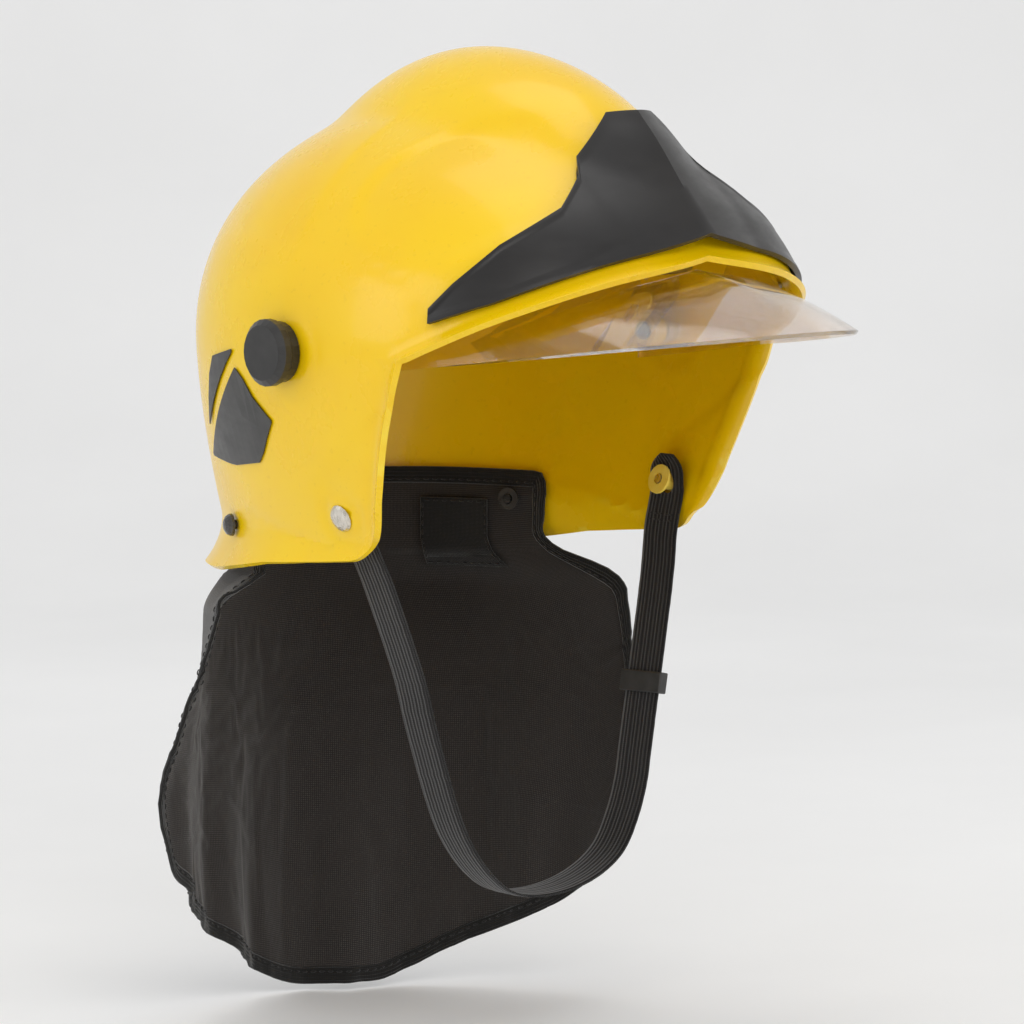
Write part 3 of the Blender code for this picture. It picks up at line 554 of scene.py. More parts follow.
def tinted_clear():
    """Clear visor with a faint rosy tint, a painted highlight that makes its edges paler and more opaque,
    smudges and fine scratches.
    """
    look = Looks("visor_clear", (1.0, 0.82, 0.70), 0.03, transmission_weight=1.0, ior=1.42, alpha=0.62,
                 coat_weight=0.1, coat_roughness=0.03)
    # Painted highlight: pointiness picks out the edges, which get a paler colour and a higher alpha.
    geometry = look.node("NewGeometry")
    edge = look.ramp(geometry.outputs["Pointiness"], ((0.5, 0.0), (0.58, 1.0)))
    tint = look.ramp(look.noise(14, 3), ((0.3, (1.0, 0.80, 0.66)), (0.7, (1.0, 0.85, 0.74))))
    look.colour(look.mix(edge, tint, (1.0, 0.93, 0.87)))
    smudge = look.ramp(look.noise(38, 6, 0.65), ((0.55, 0.02), (0.85, 0.09)))
    look.feed("Roughness", smudge)
    look.feed("Alpha", look.ramp(edge, ((0.0, 0.6), (1.0, 0.95))))
    look.bump((look.noise(600, 6, 0.7, (1, 7, 1)), 0.004, 0.15), (look.noise(18, 2), 0.4, 0.05))
    return look.mat


YELLOW = yellow_gloss()
VISOR = tinted_clear()
PLATE = moulded_plastic("plate_satin_black", (0.006, 0.005, 0.005), (0.012, 0.010, 0.009), (0.30, 0.42),
                        1900, 0.03, (0.05, 0.046, 0.043), specular_ior_level=0.5)
KNOB = moulded_plastic("knob_black", (0.009, 0.009, 0.009), (0.016, 0.015, 0.015), (0.28, 0.42), 1600, 0.04,
                       (0.06, 0.058, 0.055))
SLIDER = moulded_plastic("slider_black", (0.010, 0.010, 0.010), (0.02, 0.019, 0.018), (0.36, 0.5), 1800, 0.04,
                         (0.06, 0.058, 0.055))
BAND = moulded_plastic("headband_black", (0.012, 0.012, 0.012), (0.024, 0.024, 0.023), (0.42, 0.6),
                       1300, 0.05, (0.06, 0.06, 0.058))
SIZE = moulded_plastic("size_slider_grey", (0.04, 0.04, 0.042), (0.06, 0.06, 0.062), (0.4, 0.55), 1300, 0.05,
                       (0.12, 0.12, 0.12))
BOSS = moulded_plastic("boss_yellow", (0.78, 0.44, 0.0), (0.88, 0.54, 0.002), (0.3, 0.42), 1500, 0.03,
                       (0.96, 0.74, 0.14))
PEG = moulded_plastic("peg_yellow", (0.82, 0.50, 0.0), (0.92, 0.62, 0.01), (0.26, 0.38), 1500, 0.03,
                      (0.98, 0.8, 0.2))
NYLON = moulded_plastic("nylon_natural", (0.66, 0.62, 0.52), (0.74, 0.71, 0.62), (0.35, 0.5), 1500, 0.03,
                        (0.82, 0.8, 0.73), subsurface_weight=0.1, subsurface_scale=0.002)
POST = moulded_plastic("post_nylon", (0.72, 0.42, 0.0), (0.84, 0.53, 0.004), (0.35, 0.5), 1500, 0.03,
                       (0.94, 0.7, 0.15))
DECAL = moulded_plastic("decal_black", (0.009, 0.009, 0.009), (0.016, 0.015, 0.014), (0.36, 0.5), 2600, 0.015,
                        (0.05, 0.048, 0.045), coat_weight=0.15, coat_roughness=0.25)
NICKEL = metal("nickel", (0.78, 0.74, 0.66), (0.5, 0.46, 0.4), 0.2)
STEEL = metal("screw_steel", (0.55, 0.54, 0.52), (0.3, 0.29, 0.28), 0.3)
BLACK_METAL = moulded_plastic("stud_black", (0.008, 0.008, 0.008), (0.014, 0.013, 0.013), (0.18, 0.34),
                              1200, 0.02, (0.10, 0.095, 0.09), coat_weight=0.4, coat_roughness=0.1)
WEBBING = woven("strap_webbing", (0.020, 0.018, 0.017), (0.006, 0.005, 0.005), 0.9, 0.12, ribs=2.2, fuzz=0.3)
CRADLE = woven("cradle_webbing", (0.03, 0.029, 0.028), (0.010, 0.010, 0.009), 1.3, 0.15, fuzz=0.3)
FABRIC = woven("curtain_fabric", (0.062, 0.054, 0.049), (0.011, 0.009, 0.008), 0.85, 0.12, 0.3, fuzz=0.55)
BINDING = woven("binding_tape", (0.018, 0.016, 0.015), (0.006, 0.006, 0.005), 0.8, 0.1, ribs=1.6, fuzz=0.25)
LOOP_TAPE = woven("loop_tape", (0.014, 0.013, 0.012), (0.004, 0.004, 0.004), 0.6, 0.2, 0.5, fuzz=0.8)
THREAD = woven("stitch_thread", (0.030, 0.027, 0.025), (0.010, 0.009, 0.008), 0.4, 0.03, fuzz=0.5)
SWEAT = woven("sweat_pad_cloth", (0.085, 0.085, 0.088), (0.03, 0.03, 0.032), 0.9, 0.1, 0.4,
              fuzz=0.6, uv=False)
CROWN_FOAM = foam("crown_pad_foam", (0.085, 0.085, 0.09), (0.02, 0.02, 0.022), 900)


# ---------------------------------------------------------------- shell, plate and visor

def lip(distance):
    """Flare of the shell's edge: a rolled bead, then a shallow step."""
    bead = LIP * max(0.0, 1 - distance / 3.4) ** 1.6
    return bead + 0.5 * ease((distance - 4.4) / 1.0) * ease((8.0 - distance) / 2.5) * -1.0


def shell_columns():
    """Angles round the whole dome, with both brim corners exact; the first ones run round the back."""
    steps = 168
    rear = [BRIM_CORNER + (360 - 2 * BRIM_CORNER) * i / steps for i in range(steps + 1)]
    ahead = [-BRIM_CORNER + 2 * BRIM_CORNER * i / 80 for i in range(1, 80)]
    return rear, ahead


def raised(phi, z=None, rise=None, out=0.0):
    plain = skin_z(phi, z) if rise is None else skin_rise(phi, rise)
    extra = out + relief(plain)
    return skin_z(phi, z, extra) if rise is None else skin_rise(phi, rise, extra)


def build_shell():
    rear, ahead = shell_columns()
    verts = []
    rows = 52
    for degrees in rear + ahead:
        phi = math.radians(degrees)
        front = from_front(phi) <= BRIM_CORNER + 0.01
        low = smooth_table(BRIM_HEIGHTS, from_front(phi)) if front else 0.0
        near = [0.0, 0.5, 1.1, 1.8, 2.6, 3.6, 5.0, 7.0]
        column = [raised(phi, low + s, out=lip(s) if front else 0.0) for s in near]
        start = rise_at(phi, low + near[-1])
        left = rows - len(near)
        span = math.pi / 2 - start
        column += [raised(phi, rise=start + span * k / (left + 0.5)) for k in range(1, left + 1)]
        verts += column
    count = len(rear) + len(ahead)
    faces = grid_faces(count, rows, closed=True)
    top = len(verts)
    verts.append(skin_rise(0.0, math.pi / 2))
    for i in range(count):
        faces.append((i * rows + rows - 1, ((i + 1) % count) * rows + rows - 1, top))
    above = [i * rows for i in range(len(rear))]
    last = 34
    for n in range(1, last + 1):
        share = 1 - (1 - n / last) ** 1.25
        below = list(range(len(verts), len(verts) + len(rear)))
        edge = smooth_table(CHEEK_EDGE, -83.0 * share)
        for i in range(len(rear)):
            from_edge = min(i, len(rear) - 1 - i)
            near = min(1.0, from_edge / 10.0)
            squeeze = near ** 1.5
            reach = (180.0 - edge) * from_edge / ((len(rear) - 1) / 2)
            degrees = edge + reach * (0.35 + 0.65 * squeeze) if near < 1 else edge + reach
            degrees = degrees if i == from_edge else 360.0 - degrees
            phi = math.radians(degrees)
            away = (from_front(phi) - edge) * 1.85
            corner = max(0.0, 1 - away / 17.0)
            z = rim_height(phi) * share + 9.0 * corner ** 2.2 * share ** 6
            flare = lip(away) * (1 - 0.55 * share ** 8) if away < 9 else 0.0
            verts.append(raised(phi, min(z, -0.3), out=flare))
        for i in range(len(rear) - 1):
            faces.append((below[i], below[i + 1], above[i + 1], above[i]))
        above = below
    shell = mesh_object("shell_skin", verts, faces)
    thicken(shell, WALL)
    round_edges(shell, 0.9, 3, 50)
    return finish_piece(shell, "helmet", YELLOW, ["shell"])


def build_plate():
    marks = sorted(set([i * 1.5 for i in range(35)] + [a for a, _ in PLATE_TOP] + [19.2]))
    angles = [-a for a in reversed(marks[1:])] + marks
    columns = []
    for degrees in angles:
        phi = math.radians(degrees)
        brim = smooth_table(BRIM_HEIGHTS, abs(degrees))
        low = rise_at(phi, brim + 5.8 + max(0.0, abs(degrees) - 40) * 0.25)
        high = max(low + 0.02, math.radians(table(PLATE_TOP, abs(degrees))))
        column = []
        for k in range(25):
            share = k / 24
            rise = low + (high - low) * share
            point = skin_rise(phi, rise, GAP + 2.8)
            prow = 6.0 * max(0.0, 1.0 - abs(point.x) / 32.0) ** 1.15
            frame_line = 0.35 * ease((3.2 - min(share, 1 - share) * (high - low) * 130) / 1.2)
            column.append(skin_rise(phi, rise, GAP + 2.8 + prow + frame_line))
        columns.append(column)
    plate = grid_object("face_plate", columns, sharp=24)
    face_away(plate, (0, 0, 0))
    thicken(plate, 2.3)
    round_edges(plate, 0.5, 2, 50)
    return finish_piece(plate, "helmet", PLATE, ["front_plate"])


def build_visor():
    marks = [97.0 * i / 52 for i in range(53)]
    angles = [-a for a in reversed(marks[1:])] + marks
    columns = []
    for degrees in angles:
        phi = math.radians(degrees)
        flat = ((math.sin(phi) / VISOR_HALF_WIDTH) ** 2 + (math.cos(phi) / VISOR_REACH) ** 2) ** -0.5
        low_z = -3.4 + (flat * math.cos(phi) - 68.0) * 0.134
        low, start = math.atan2(low_z, flat), math.hypot(flat, low_z)
        high = math.radians(smooth_table(VISOR_TOP, abs(degrees)))
        brim = smooth_table(BRIM_HEIGHTS, abs(degrees))
        meet = max(min(high * 0.75, rise_at(phi, max(0.0, brim - 4.0))), low + 0.06)

        def inside(rise):
            return dome_radius(phi, max(0.0, rise)) - WALL - 4.6

        def reach(rise):
            return min(inside(rise), flat / math.cos(rise))

        column = []
        for k in range(12):
            share = k / 12
            rise = low + (meet - low) * share
            column.append(polar(phi, rise, start + (min(inside(meet), flat) - start) * share))
        for k in range(15):
            rise = meet + (high - meet) * k / 14
            column.append(polar(phi, rise, reach(rise)))
        columns.append(column)
    visor = grid_object("visor_lens", columns)
    face_away(visor, (0, 0, 0))
    thicken(visor, VISOR_THICKNESS)
    cut_holes(visor, [(Vector((s * 85, 0, 0)), Vector((s * 107, 0, 0)), 4.35) for s in (-1, 1)])
    visor.data.shade_smooth()
    visor.data.set_sharp_from_angle(angle=math.radians(45))
    round_edges(visor, 0.35, 2, 50)
    return finish_piece(visor, "visor", VISOR, ["visor"])


# ---------------------------------------------------------------- neck curtain

CURTAIN_SPREAD, CURTAIN_TOP, CURTAIN_SEAT, BINDING_WIDTH = 53.0, -72.0, 4.4, 6.5
CURTAIN_LINES = (
    ((-212, -105, -80), (-195, -105, -81), (-164, -101, -76), (-136, -94, -70), (-118, -92, -66)),
    ((-292, -62, -108), (-195, -64, -110), (-118, -61, -112)),
    ((-292, -10, -122), (-195, -8, -127), (-118, 0, -130)),
    ((-292, 56, -84), (-195, 61, -90), (-150, 63, -96), (-118, 62, -108)),
    ((-212, 94, -24), (-195, 96, -22), (-158, 97, -20), (-120, 92, -20), (-107, 88, -27), (-100, 86, -36)),
)
CURTAIN_HEM = (
    (-1.0, -200), (-0.95, -217), (-0.85, -228), (-0.68, -242), (-0.42, -258), (-0.18, -275),
    (0.08, -286), (0.25, -286), (0.37, -280), (0.43, -275), (0.62, -263), (0.73, -256), (0.85, -246),
    (0.94, -233), (1.0, -208),
)


def seat_point(share, z):
    phi = math.pi + math.radians(CURTAIN_SPREAD) * share
    radius = skirt_radius(phi, max(z, -77.0)) - CURTAIN_SEAT
    return Vector((-radius * math.sin(phi), -radius * math.cos(phi), z))


def free_point(share, z):
    spot = (share + 1) * 2
    first = min(3, max(0, int(spot)))
    t = spot - first
    marks = []
    for n in (first - 1, first, first + 1, first + 2):
        line = CURTAIN_LINES[min(4, max(0, n))]
        x = smooth_table([(h, x) for h, x, _ in line], z)
        marks.append(Vector((x, -smooth_table([(h, a) for h, _, a in line], z), z)))
    a, b, c, d = marks
    if first == 0:
        a = b * 2 - c
    if first == 3:
        d = c * 2 - b
    return through(a, b, c, d, t)


def keep_inside(point, spare=0.0):
    flat = math.hypot(point.x, point.y)
    phi = math.atan2(point.x, -point.y)
    below_rim = max(0.0, rim_height(phi) - point.z - 3.5)
    limit = skirt_radius(phi, max(point.z, -77.0)) - CURTAIN_SEAT - spare + 1.4 * below_rim
    if flat > limit:
        point.x *= limit / flat
        point.y *= limit / flat
    return point


def curtain_point(share, z):
    seated = seat_point(share, z)
    rim = rim_height(math.atan2(seated.x, -seated.y))
    point = seated.lerp(free_point(share, z), ease((rim + 3 - z) / 24.0))
    point.z = z
    return keep_inside(point)


def curtain_out(share, z):
    step = curtain_point(share + 0.02, z) - curtain_point(share - 0.02, z)
    down = curtain_point(share, z - 1) - curtain_point(share, z + 1)
    out = step.cross(down).normalized()
    return out if out.dot(Vector((0, 1, 0))) > 0 else -out


def folded_point(share, part):
    """Curtain point with the soft folds that gather towards the hem."""
    hem = smooth_table(CURTAIN_HEM, share)
    z = CURTAIN_TOP + (hem - CURTAIN_TOP) * part
    point = curtain_point(share, z)
    deep = ease((part - 0.16) / 0.7)
    lean = share + 0.10 * part
    fold = 2.6 * math.sin(13.0 * lean + 0.8) + 1.5 * math.sin(24.0 * lean - 2.4 * part) * part
    spot = Vector((share * 2.0, part * 1.2, 3.1))
    crease = 2.4 * noise.noise(spot * 1.6) + 1.1 * noise.noise(spot * 4.2)
    moved = point + curtain_out(share, z) * (fold + crease) * deep
    return keep_inside(moved, 0.2)


def settle(obj, mod, frames, most):
    """Run a cloth modifier and keep its result on the mesh, each point within a set distance."""
    start = [v.co.copy() for v in obj.data.vertices]
    mod.point_cache.frame_start, mod.point_cache.frame_end = 1, frames
    scene = bpy.context.scene
    for number in range(1, frames + 1):
        scene.frame_set(number)
    settled = obj.evaluated_get(bpy.context.evaluated_depsgraph_get()).data
    ended = [v.co.copy() for v in settled.vertices]
    obj.modifiers.remove(mod)
    for vert, a, b in zip(obj.data.vertices, start, ended):
        shift = b - a
        if shift.length > most * MM:
            shift *= most * MM / shift.length
        vert.co = a + shift
    scene.frame_set(1)


def relax_cloth(obj, pins, frames, most):
    """Let the sheet hang for a moment, held by its pins."""
    group = obj.vertex_groups.new(name="pins")
    for index, weight in enumerate(pins):
        group.add([index], weight, "REPLACE")
    mod = obj.modifiers.new("cloth", "CLOTH")
    mod.settings.quality = 7
    mod.settings.mass = 0.0004
    mod.settings.tension_stiffness = mod.settings.compression_stiffness = 18
    mod.settings.shear_stiffness = 6
    mod.settings.bending_stiffness = 0.02
    mod.settings.shrink_min = -0.012
    mod.settings.vertex_group_mass = "pins"
    mod.settings.pin_stiffness = 1.2
    mod.collision_settings.use_collision = False
    settle(obj, mod, frames, most)
    obj.vertex_groups.clear()


def tape_ring(centre, out, face, half_width, half_thick, steps=14):
    """Rounded flat cross-section of a folded tape."""
    ring = []
    for k in range(steps):
        a = math.tau * k / steps
        c, s = math.cos(a), math.sin(a)
        ring.append(centre + out * half_width * bulge(c, 0.6) + face * half_thick * bulge(s, 0.6))
    return ring


def tube_object(name, rings, closed):
    verts = [p for ring in rings for p in ring]
    count = len(rings[0])
    faces = []
    for i in range(len(rings) if closed else len(rings) - 1):
        j = (i + 1) % len(rings)
        for k in range(count):
            m = (k + 1) % count
            faces.append((i * count + k, j * count + k, j * count + m, i * count + m))
    if not closed:
        faces.append(tuple(range(count)))
        faces.append(tuple((len(rings) - 1) * count + k for k in reversed(range(count))))
    return mesh_object(name, verts, faces, sheet_uvs(rings))


def stitch_row(name, points, faces_out, lift, length=2.7, gap=1.3, radius=0.28):
    """Row of short sewn stitches following a run of points, one side of the cloth."""
    verts, faces = [], []
    lengths = [0.0]
    for a, b in zip(points, points[1:]):
        lengths.append(lengths[-1] + (b - a).length)

    def at(place):
        low, high = 0, len(lengths) - 2
        while low < high:
            n = (low + high + 1) // 2
            if lengths[n] <= place:
                low = n
            else:
                high = n - 1
        span = lengths[low + 1] - lengths[low] or 1.0
        t = (place - lengths[low]) / span
        return points[low].lerp(points[low + 1], t), faces_out[low].lerp(faces_out[low + 1], t).normalized()

    place = 0.6
    while place + length < lengths[-1]:
        base = len(verts)
        stations = ((0, 0.25, -0.3), (0.18, 0.9, 0.1), (0.5, 1, 0.25), (0.82, 0.9, 0.1), (1, 0.25, -0.3))
        start, _ = at(place)
        end, _ = at(place + length)
        along = (end - start).normalized()
        for share, size, high in stations:
            spot, face = at(place + length * share)
            side = along.cross(face).normalized()
            centre = spot + face * (lift + high)
            for k in range(6):
                a = math.tau * k / 6
                verts.append(centre + (side * math.cos(a) * 1.3 + face * math.sin(a)) * radius * size)
        for s in range(4):
            for k in range(6):
                m = (k + 1) % 6
                row = base + s * 6
                faces.append((row + k, row + m, row + 6 + m, row + 6 + k))
        faces.append(tuple(base + k for k in reversed(range(6))))
        faces.append(tuple(base + 24 + k for k in range(6)))
        place += length + gap
    return mesh_object(name, verts, faces)


def build_curtain():
    across, down = 140, 110
    columns = [[folded_point(-1 + 2 * i / across, (k / down) ** 1.15) for k in range(down + 1)]
               for i in range(across + 1)]
    curtain = grid_object("curtain_cloth", columns)
    rows = down + 1
    pins = []
    for i in range(across + 1):
        for k in range(rows):
            depth = -columns[i][k].z
            pins.append(1.0 if depth < 104 else max(0.10, 1.0 - (depth - 104) / 40.0))
    relax_cloth(curtain, pins, 12, 4.0)
    settled = [[curtain.data.vertices[i * rows + k].co / MM for k in range(rows)] for i in range(across + 1)]
    face_away(curtain, (0, 0, -170))
    thicken(curtain, 0.8, 0)
    spots = [fixing(side, STUD) for side in (-1, 1)]
    cut_holes(curtain, [(spot - out * 1.0, spot - out * 10.0, 2.35) for spot, out in spots], 20)
    finish_piece(curtain, "helmet", FABRIC, ["neck_curtain"])

    loop = [settled[i][0] for i in range(across + 1)]
    inner = [settled[i][3] for i in range(across + 1)]
    loop += [settled[across][k] for k in range(2, rows - 1, 2)]
    inner += [settled[across - 3][k] for k in range(2, rows - 1, 2)]
    loop += [settled[i][rows - 1] for i in range(across, -1, -1)]
    inner += [settled[i][rows - 4] for i in range(across, -1, -1)]
    loop += [settled[0][k] for k in range(rows - 2, 1, -2)]
    inner += [settled[3][k] for k in range(rows - 2, 1, -2)]
    count = len(loop)
    outs = [(a - b).normalized() for a, b in zip(loop, inner)]
    for _ in range(3):
        outs = [(outs[i - 1] + outs[i] * 2 + outs[(i + 1) % count]).normalized() for i in range(count)]
    rings, mids, fronts = [], [], []
    for i in range(count):
        along = (loop[(i + 1) % count] - loop[i - 1]).normalized()
        face = along.cross(outs[i]).normalized()
        pucker = 0.3 * noise.noise(loop[i] * 0.23) + 0.2 * noise.noise(loop[i] * 0.6)
        centre = keep_inside(loop[i] + outs[i] * (BINDING_WIDTH / 2 - 0.6), 0.9) + face * pucker
        out = (centre - loop[i]).normalized() if (centre - loop[i]).length > 1 else outs[i]
        face = along.cross(out).normalized()
        rings.append(tape_ring(centre, out, face, (BINDING_WIDTH + 1.2) / 2, 1.0 + 0.5 * abs(pucker)))
        mids.append(centre - out * (BINDING_WIDTH / 2 - 1.6))
        fronts.append(face)
    backs = [-face for face in fronts]
    binding = tube_object("curtain_edge_binding", rings, True)
    finish_piece(binding, "helmet", BINDING, ["curtain_binding"])
    pieces = [binding]
    for name, faces_out in (("binding_stitches_outer", fronts), ("binding_stitches_inner", backs)):
        row = stitch_row(name, mids + [mids[0]], faces_out + [faces_out[0]], 1.15)
        pieces.append(finish_piece(row, "helmet", THREAD))
    for side, word in ((-1, "right"), (1, "left")):
        patch_columns = []
        for i in range(33):
            share = side * (0.50 + 0.28 * i / 32)
            patch_columns.append([curtain_point(share, z) - curtain_out(share, z) * 3.0
                                  for z in [-79 - 29 * k / 24 for k in range(25)]])
        border = [patch_columns[i][1] for i in range(1, 32)] + [patch_columns[31][k] for k in range(2, 24)]
        border += [patch_columns[i][23] for i in range(30, 0, -1)]
        border += [patch_columns[1][k] for k in range(22, 0, -1)]
        patch = grid_object("loop_patch_" + word, patch_columns)
        thicken(patch, 0.9, 0)
        round_edges(patch, 0.25, 2, 50)
        finish_piece(patch, "helmet", LOOP_TAPE, ["curtain_patch_" + word])
        inward = Vector((-side * 0.75, -0.66, 0))
        sewn = stitch_row("patch_stitches_" + word, border, [inward] * len(border), 0.55)
        pieces += [patch, finish_piece(sewn, "helmet", THREAD)]
    return curtain


# ---------------------------------------------------------------- webbing straps

def webbing(name, line, across, half_widths, thickness, ribs, step_rows=13):
    """Closed flat strap along a line, with ribs running lengthwise and rounded selvedges."""
    rings = []
    count = len(line)
    for i, point in enumerate(line):
        along = (line[min(count - 1, i + 1)] - line[max(0, i - 1)]).normalized()
        side = (across(i, along)).normalized()
        face = along.cross(side).normalized()
        half = half_widths(i, count)
        waver = 0.12 * noise.noise(point * 0.35)
        ring = []
        for direction in (1, -1):
            for k in range(step_rows):
                share = -1 + 2 * k / (step_rows - 1)
                rib = 0.10 * math.cos(math.pi * ribs * share)
                edge = (1 - abs(share) ** 8) ** 0.5
                height = (thickness / 2 * (0.55 + 0.45 * edge) + rib * edge)
                ring.append(point + side * direction * share * (half + waver) + face * direction * height)
        rings.append(ring)
    return tube_object(name, rings, False)


STRAP_RUN = (
    (-81, 18.4, -82), (-74, 19, -97), (-60.4, 20.5, -133), (-54, 21.5, -157), (-45, 23, -187),
    (-37.4, 24, -205), (-26, 25, -220), (-12, 25.5, -229), (9, 25.5, -231), (30, 25, -227),
    (46, 24.5, -218), (55, 24, -204), (60.6, 23.2, -190), (63.4, 22.6, -177), (66.2, 22, -164),
    (69.1, 21.4, -151), (71.9, 20.8, -138), (74.7, 20.2, -125), (77.5, 19.6, -112), (80, 18.9, -99),
    (82, 18.4, -84),
)


def build_strap():
    ends, pegs = [], []
    for side in (-1, 1):
        spot, out = fixing(side, RIVET)
        pegs.append(spot - out * 7.2)
        ends.append([pegs[-1] + Vector((0, 0, rise)) for rise in (12.0, 9.0, 5.0, 0.0, -5.0)])
    line = spline(ends[0] + [Vector((x, -a, z)) for x, a, z in STRAP_RUN] + list(reversed(ends[1])), 1.3)

    def half(i, count):
        from_end = min(i, count - 1 - i) * 1.3
        return 10.0 * (1 - max(0.0, 1 - from_end / 9.0) ** 2.2 * 0.62)

    def across(_, along):
        return Vector((0, 1, 0)) - along * along.y

    strap = webbing("strap_webbing", line, across, half, 1.45, 8)
    cut_holes(strap, [(peg - Vector((3, 0, 0)), peg + Vector((3, 0, 0)), 5.0) for peg in pegs], 36)
    finish_piece(strap, "chin_strap", WEBBING, ["chin_strap"])
    for word, low in (("right", 0), ("left", 1)):
        run = line if low == 0 else list(reversed(line))
        piece = []
        for drop in (14.0, 17.5):
            n = int((12.0 + drop) / 1.3)
            centre = run[n]
            piece.append([centre + Vector((0, w, 0)) for w in (-7.6, -2.5, 2.5, 7.6)])
        for number, points in enumerate(piece):
            for facing, lift in ((1, "outer"), (-1, "inner")):
                row = stitch_row(f"strap_stitches_{word}_{lift}_{number}", points,
                                 [Vector((facing, 0, 0))] * len(points), 0.8, 2.2, 0.9, 0.26)
                finish_piece(row, "chin_strap", THREAD)


BAND_HALF_WIDTH, BAND_HALF_LENGTH, BAND_THICKNESS, BAND_HIGH = 76.0, 92.0, 1.6, 56.0


def build_cradle():
    for name, lengthwise, top, bow in (("lengthwise", True, 92.0, 2.6), ("crosswise", False, 90.2, 2.35)):
        reach = (BAND_HALF_LENGTH if lengthwise else BAND_HALF_WIDTH) + BAND_THICKNESS + 1.0
        points = []
        for i in range(65):
            angle = math.pi * i / 64
            out = reach * math.cos(angle)
            z = 49.5 + (top - 49.5) * (1 - abs(math.cos(angle)) ** bow) ** (1 / bow)
            point = Vector((0, out, z)) if lengthwise else Vector((out, 0, z))
            if z < BAND_HIGH + 7:
                spread = math.hypot(point.x / (BAND_HALF_WIDTH + 3.2), point.y / (BAND_HALF_LENGTH + 3.2))
                if spread < 1.0:
                    point.x /= spread
                    point.y /= spread
            points.append(point)
        line = spline(points, 1.5)
        side = Vector((1, 0, 0)) if lengthwise else Vector((0, 1, 0))
        strap = webbing("cradle_" + name, line, lambda i, along, s=side: s, lambda i, count: 9.0, 0.9, 6)
        finish_piece(strap, "helmet", CRADLE, ["crown_strap_" + name])


# ---------------------------------------------------------------- pads

def swell(obj, voxel, pressure, frames, most):
    """Blow a closed pad up a little, so that its cloth pulls tight between its edges."""
    remesh = obj.modifiers.new("voxels", "REMESH")
    remesh.mode = "VOXEL"
    remesh.voxel_size = voxel * MM
    remesh.use_smooth_shade = True
    apply(obj, remesh)
    mod = obj.modifiers.new("cloth", "CLOTH")
    mod.settings.quality = 5
    mod.settings.use_pressure = True
    mod.settings.uniform_pressure_force = pressure
    mod.settings.effector_weights.gravity = 0
    settle(obj, mod, frames, most)


def band_point(phi, z, out=0.0):
    x, y = BAND_HALF_WIDTH * math.sin(phi), -BAND_HALF_LENGTH * math.cos(phi)
    normal = Vector((x / BAND_HALF_WIDTH ** 2, y / BAND_HALF_LENGTH ** 2, 0)).normalized()
    return Vector((x, y, z)) + normal * out


def build_pads():
    rings = []
    for i in range(121):
        share = i / 120
        phi = math.radians(-56 + 112 * share)
        end = min(1.0, min(share, 1 - share) * 16)
        puff = (1 - (1 - end) ** 2) ** 0.5 * (1 - 0.35 * math.exp(-((share * 7 % 1 - 0.5) / 0.08) ** 2))
        half = 10.0 * (0.7 + 0.3 * end)
        ring = []
        for k in range(20):
            a = math.tau * k / 20
            deep = 1.5 * bulge(math.cos(a), 0.7) * max(0.3, puff)
            ring.append(band_point(phi, 43 + half * bulge(math.sin(a), 0.7), -2.1 - deep))
        rings.append(ring)
    pad = tube_object("sweat_pad_cushion", rings, False)
    swell(pad, 0.9, 2.0, 10, 0.25)
    finish_piece(pad, "helmet", SWEAT, ["sweat_pad"])

    profile = [(8, 0.05), (17, 0.1), (23, 0.25), (25.6, 0.9), (26.0, 1.9), (25.3, 3.0), (22.5, 3.8),
               (17, 3.5), (11, 3.95), (5, 3.75)]
    verts, turns = [], 64
    for i in range(turns):
        a = math.tau * i / turns
        notch = 1 - 0.012 * abs(math.cos(4 * a)) ** 6
        turned = Vector((notch * math.cos(a), notch * math.sin(a), 0))
        verts += [turned * r + Vector((0, 0, 83.9 + z)) for r, z in profile]
    rows = len(profile)
    faces = grid_faces(turns, rows, closed=True)
    low, high = len(verts), len(verts) + 1
    verts += [Vector((0, 0, 83.9)), Vector((0, 0, 87.4))]
    for i in range(turns):
        j = (i + 1) % turns
        faces.append((low, i * rows, j * rows))
        faces.append((high, j * rows + rows - 1, i * rows + rows - 1))
    crown = mesh_object("crown_pad_cushion", verts, faces)
    swell(crown, 1.0, 1.5, 10, 0.25)
    finish_piece(crown, "helmet", CROWN_FOAM, ["crown_pad"])


# ---------------------------------------------------------------- hard parts kept as they are

def dress_cad():
    """Give the kept solids their finish, rounded edges and fine surface."""
    finishes = {
        "visor_knob": (KNOB, 0.5), "pivot_nut": (BOSS, 0.4), "pivot_spacer": (NYLON, 0.2),
        "strap_rivet": (NICKEL, 0.3),
        "strap_boss": (PEG, 0.4), "strap_cap": (PEG, 0.4), "curtain_stud": (BLACK_METAL, 0.3),
        "stud_washer": (BLACK_METAL, 0.15), "plate_screw": (STEEL, 0.2), "panel_decal": (DECAL, 0.12),
        "fin_decal": (DECAL, 0.12), "side_post": (POST, 0.3), "rear_post": (POST, 0.3),
        "headband": (BAND, 0.5), "strap_slider": (SLIDER, 0.35), "size_slider": (SIZE, 0.4),
    }
    for name, (mat, width) in finishes.items():
        for node in [n for n in nodes if n == name or n in (name + "_left", name + "_right")]:
            obj = nodes[node]
            obj.data.materials.clear()
            obj.data.materials.append(mat)
            round_edges(obj, width, 2, 38)


# ---------------------------------------------------------------- room, light and camera

def area_light(name, place, aim, size, power, colour=(1, 1, 1)):
    data = bpy.data.lights.new(name, "AREA")
    data.shape = "RECTANGLE"
    data.size, data.size_y = size
    data.energy = power
    data.color = colour
    lamp = bpy.data.objects.new(name, data)
    lamp.location = place
    lamp.rotation_euler = (Vector(aim) - Vector(place)).to_track_quat("-Z", "Y").to_euler()
    bpy.context.scene.collection.objects.link(lamp)
    return lamp


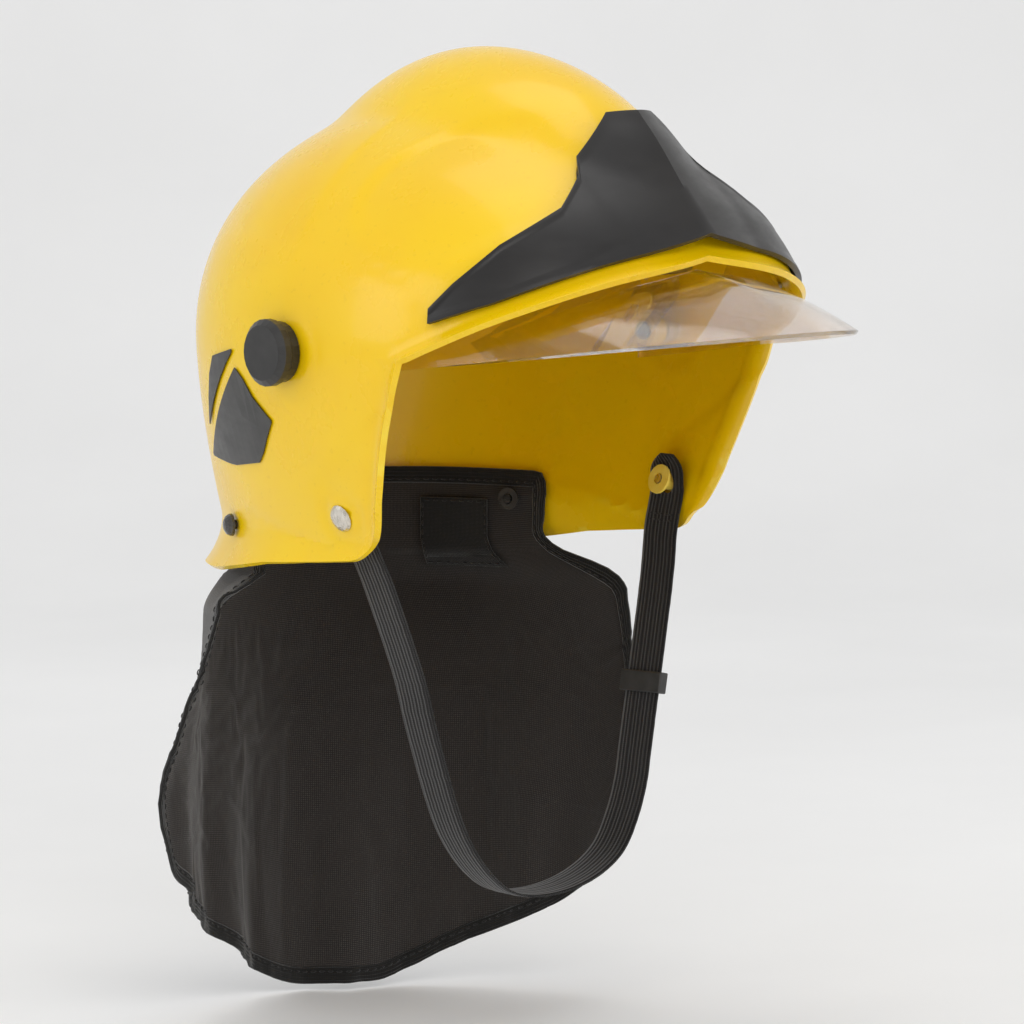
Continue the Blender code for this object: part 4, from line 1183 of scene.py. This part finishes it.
def build_room():
    rows, span = [], 1.2
    for i in range(25):
        a = math.radians(90 * min(1.0, max(0.0, (i - 6) / 12)))
        if i <= 6:
            rows.append((-2.2 + 3.6 * i / 6, 0.0))
        elif i <= 18:
            rows.append((1.4 + 0.9 * math.sin(a), 0.9 - 0.9 * math.cos(a)))
        else:
            rows.append((2.3, 0.9 + 2.4 * (i - 18) / 6))
    turn = math.radians(-41)
    verts = []
    for back, up in rows:
        for w in (-3.2, 3.2):
            x, y = w * span, back
            flat = Vector((x, y, 0))
            flat.rotate(Matrix.Rotation(turn, 3, "Z"))
            verts.append((flat + Vector((0, 0, up - 0.2965))) * 1000)
    faces = [(2 * i, 2 * i + 1, 2 * i + 3, 2 * i + 2) for i in range(24)]
    floor = mesh_object("studio_floor", verts, faces)
    paper = Looks("paper_white", (0.9, 0.9, 0.9), 0.75)
    paper.colour(paper.ramp(paper.noise(3, 4), ((0.3, 0.88), (0.7, 0.92))))
    floor.data.materials.append(paper.mat)
    world = bpy.data.worlds.new("studio_world")
    bpy.context.scene.world = world
    world.use_nodes = True
    back = world.node_tree.nodes["Background"]
    back.inputs["Color"].default_value = (1.0, 1.0, 1.0, 1.0)
    back.inputs["Strength"].default_value = 0.66
    lamps = [
        area_light("key_softbox", (-1.1, -1.7, 1.5), (0, 0, -0.02), (1.5, 1.0), 15, (1.0, 0.985, 0.96)),
        area_light("side_softbox", (-1.9, 0.7, 0.7), (0, 0, -0.05), (0.9, 1.4), 6, (0.97, 0.985, 1.0)),
        area_light("front_softbox", (1.3, -1.9, 0.8), (0, 0, -0.05), (0.9, 1.1), 7),
        area_light("top_softbox", (0.1, 0.2, 2.1), (0, 0, 0), (1.3, 1.3), 7),
    ]


def build_camera():
    rise = math.radians(6.5)
    right = Vector((0.755, -0.656, 0))
    back = Vector((-0.656 * math.cos(rise), -0.755 * math.cos(rise), math.sin(rise)))
    up = back.cross(right).normalized()
    up = up if up.z > 0 else -up
    aim = right * 0.0104 - up * 0.0725
    data = bpy.data.cameras.new("photo_camera")
    data.lens, data.sensor_width = 168.75, 36.0
    camera = bpy.data.objects.new("photo_camera", data)
    camera.location = aim + back * 2.0
    camera.rotation_euler = (-back).to_track_quat("-Z", "Y").to_euler()
    bpy.context.scene.collection.objects.link(camera)
    bpy.context.scene.camera = camera
    bpy.context.scene.view_settings.view_transform = "Standard"


build_shell()
build_plate()
build_visor()
build_curtain()
build_strap()
build_cradle()
build_pads()
dress_cad()
build_room()
build_camera()
